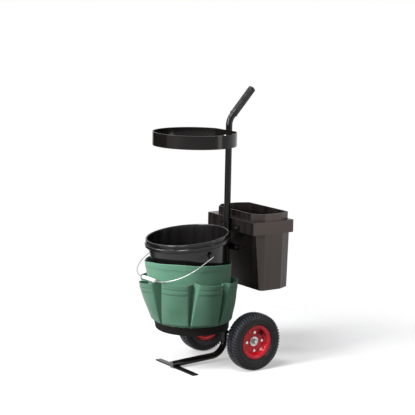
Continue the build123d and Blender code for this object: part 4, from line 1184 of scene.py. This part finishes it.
class TROLLEY_OT_stage(bpy.types.Operator):
    """Set up the pale floor, the soft light and the camera"""

    bl_idname = "trolley.stage"
    bl_label = "Stage"

    def execute(self, context):
        scene = context.scene
        setup = scene.trolley_stage
        scene.view_settings.view_transform = "Standard"

        s = Shade("studio_floor")
        near = s.place()
        reach = (s.axis(near, "X") ** 2.0 + s.axis(near, "Y") ** 2.0) ** 0.5
        pale = s.finish(
            Base_Color=s.mix(s.noise(near, 3.0, 3), (0.95, 0.95, 0.95), (0.97, 0.97, 0.97)),
            Roughness=0.9,
            Specular_IOR_Level=0.1,
            Alpha=0.6 - reach.band(0.6, 1.3) * 0.6,
        )
        half = 2.0
        corners = [(-half, -half, 0), (half, -half, 0), (half, half, 0), (-half, half, 0)]
        stage_sheet("studio_floor", corners, pale).visible_diffuse = False

        # A dark card at the left shows only in reflections
        dark = Shade("dark_card").finish(Base_Color=(0.01, 0.01, 0.01), Roughness=0.9, Specular_IOR_Level=0.0)
        corners = [(-2.6, 0.2, -0.5), (-0.9, -2.3, -0.5), (-0.9, -2.3, 0.95), (-2.6, 0.2, 0.95)]
        card = stage_sheet("dark_card", corners, dark)
        card.visible_camera = False
        card.visible_shadow = False
        card.visible_diffuse = False
        scene.world = white_surround(setup.sky)

        azimuth, rise = setup.azimuth, setup.elevation
        back = Vector((sin(azimuth) * cos(rise), -cos(azimuth) * cos(rise), sin(rise)))
        right = Vector((cos(azimuth), sin(azimuth), 0))
        upward = back.cross(right)
        target = Vector((0, POST_Y - setup.target_ahead, setup.target_height))
        lens = bpy.data.cameras.new("photo_view")
        lens.lens = setup.lens
        lens.sensor_width = 36.0
        lens.clip_end = 60.0
        camera = bpy.data.objects.new("photo_view", lens)
        turned_right = right * cos(setup.roll) + upward * sin(setup.roll)
        turned_up = upward * cos(setup.roll) - right * sin(setup.roll)
        axes = Matrix((turned_right, turned_up, back)).transposed().to_4x4()
        camera.matrix_world = Matrix.Translation(target + back * setup.distance) @ axes
        scene.collection.objects.link(camera)
        scene.camera = camera

        middle, up = Vector((0, 0, 0.5)), Vector((0, 0, 1))
        lamps = (
            ("key_light", -right * 2.6 + back * 2.3 + up * 1.2, (1.0, 2.4), setup.key_power, NEUTRAL),
            ("side_light", right * 2.8 + back * 1.0 + up * 0.4, (0.7, 1.8), setup.side_power, WARM),
            ("top_light", -right * 0.9 + back * 1.9 + up * 2.8, (1.6, 1.2), setup.top_power, COOL),
            ("left_light", -right * 1.7 - back * 0.2 + up * 2.0, (0.7, 1.5), setup.left_power, COOL),
        )
        for name, place, size, power, tint in lamps:
            light = bpy.data.lights.new(name, "AREA")
            light.energy = power
            light.color = tint
            light.shape = "RECTANGLE"
            light.size, light.size_y = size
            lamp = bpy.data.objects.new(name, light)
            facing = place.to_track_quat("Z", "Y").to_matrix().to_4x4()
            lamp.matrix_world = Matrix.Translation(middle + place) @ facing
            scene.collection.objects.link(lamp)
        return {"FINISHED"}


class TROLLEY_PT_panel(bpy.types.Panel):
    """Sidebar list of the trolley's pieces"""

    bl_label = "Garden trolley"
    bl_idname = "TROLLEY_PT_panel"
    bl_space_type = "VIEW_3D"
    bl_region_type = "UI"
    bl_category = "Trolley"

    def draw(self, context):
        column = self.layout.column()
        for operator in OPERATORS:
            column.operator(operator.bl_idname)
        for group in GROUPS:
            settings = getattr(context.scene, group)
            for key in settings.bl_rna.properties.keys():
                if key not in ("rna_type", "name"):
                    column.prop(settings, key)


OPERATORS = (
    TROLLEY_OT_finishes,
    TROLLEY_OT_bag_wall,
    TROLLEY_OT_bag_band,
    TROLLEY_OT_bag_pockets,
    TROLLEY_OT_bag_stitching,
    TROLLEY_OT_tyres,
    TROLLEY_OT_weld_beads,
    TROLLEY_OT_stage,
)
GROUPS = {
    "trolley_bag": TrolleyBagSettings,
    "trolley_tyre": TrolleyTyreSettings,
    "trolley_colours": TrolleyColours,
    "trolley_stage": TrolleyStage,
}


def register():
    for cls in (*GROUPS.values(), *OPERATORS, TROLLEY_PT_panel):
        bpy.utils.register_class(cls)
    for name, cls in GROUPS.items():
        setattr(bpy.types.Scene, name, bpy.props.PointerProperty(type=cls))


def unregister():
    for name in GROUPS:
        delattr(bpy.types.Scene, name)
    for cls in (TROLLEY_PT_panel, *reversed(OPERATORS), *reversed(list(GROUPS.values()))):
        bpy.utils.unregister_class(cls)


def main():
    """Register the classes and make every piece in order."""
    register()
    bpy.ops.trolley.finishes()
    bpy.ops.trolley.bag_wall()
    bpy.ops.trolley.bag_band()
    bpy.ops.trolley.bag_pockets()
    bpy.ops.trolley.bag_stitching()
    bpy.ops.trolley.tyres()
    bpy.ops.trolley.weld_beads()
    bpy.ops.trolley.stage()


if __name__ == "__main__":
    main()
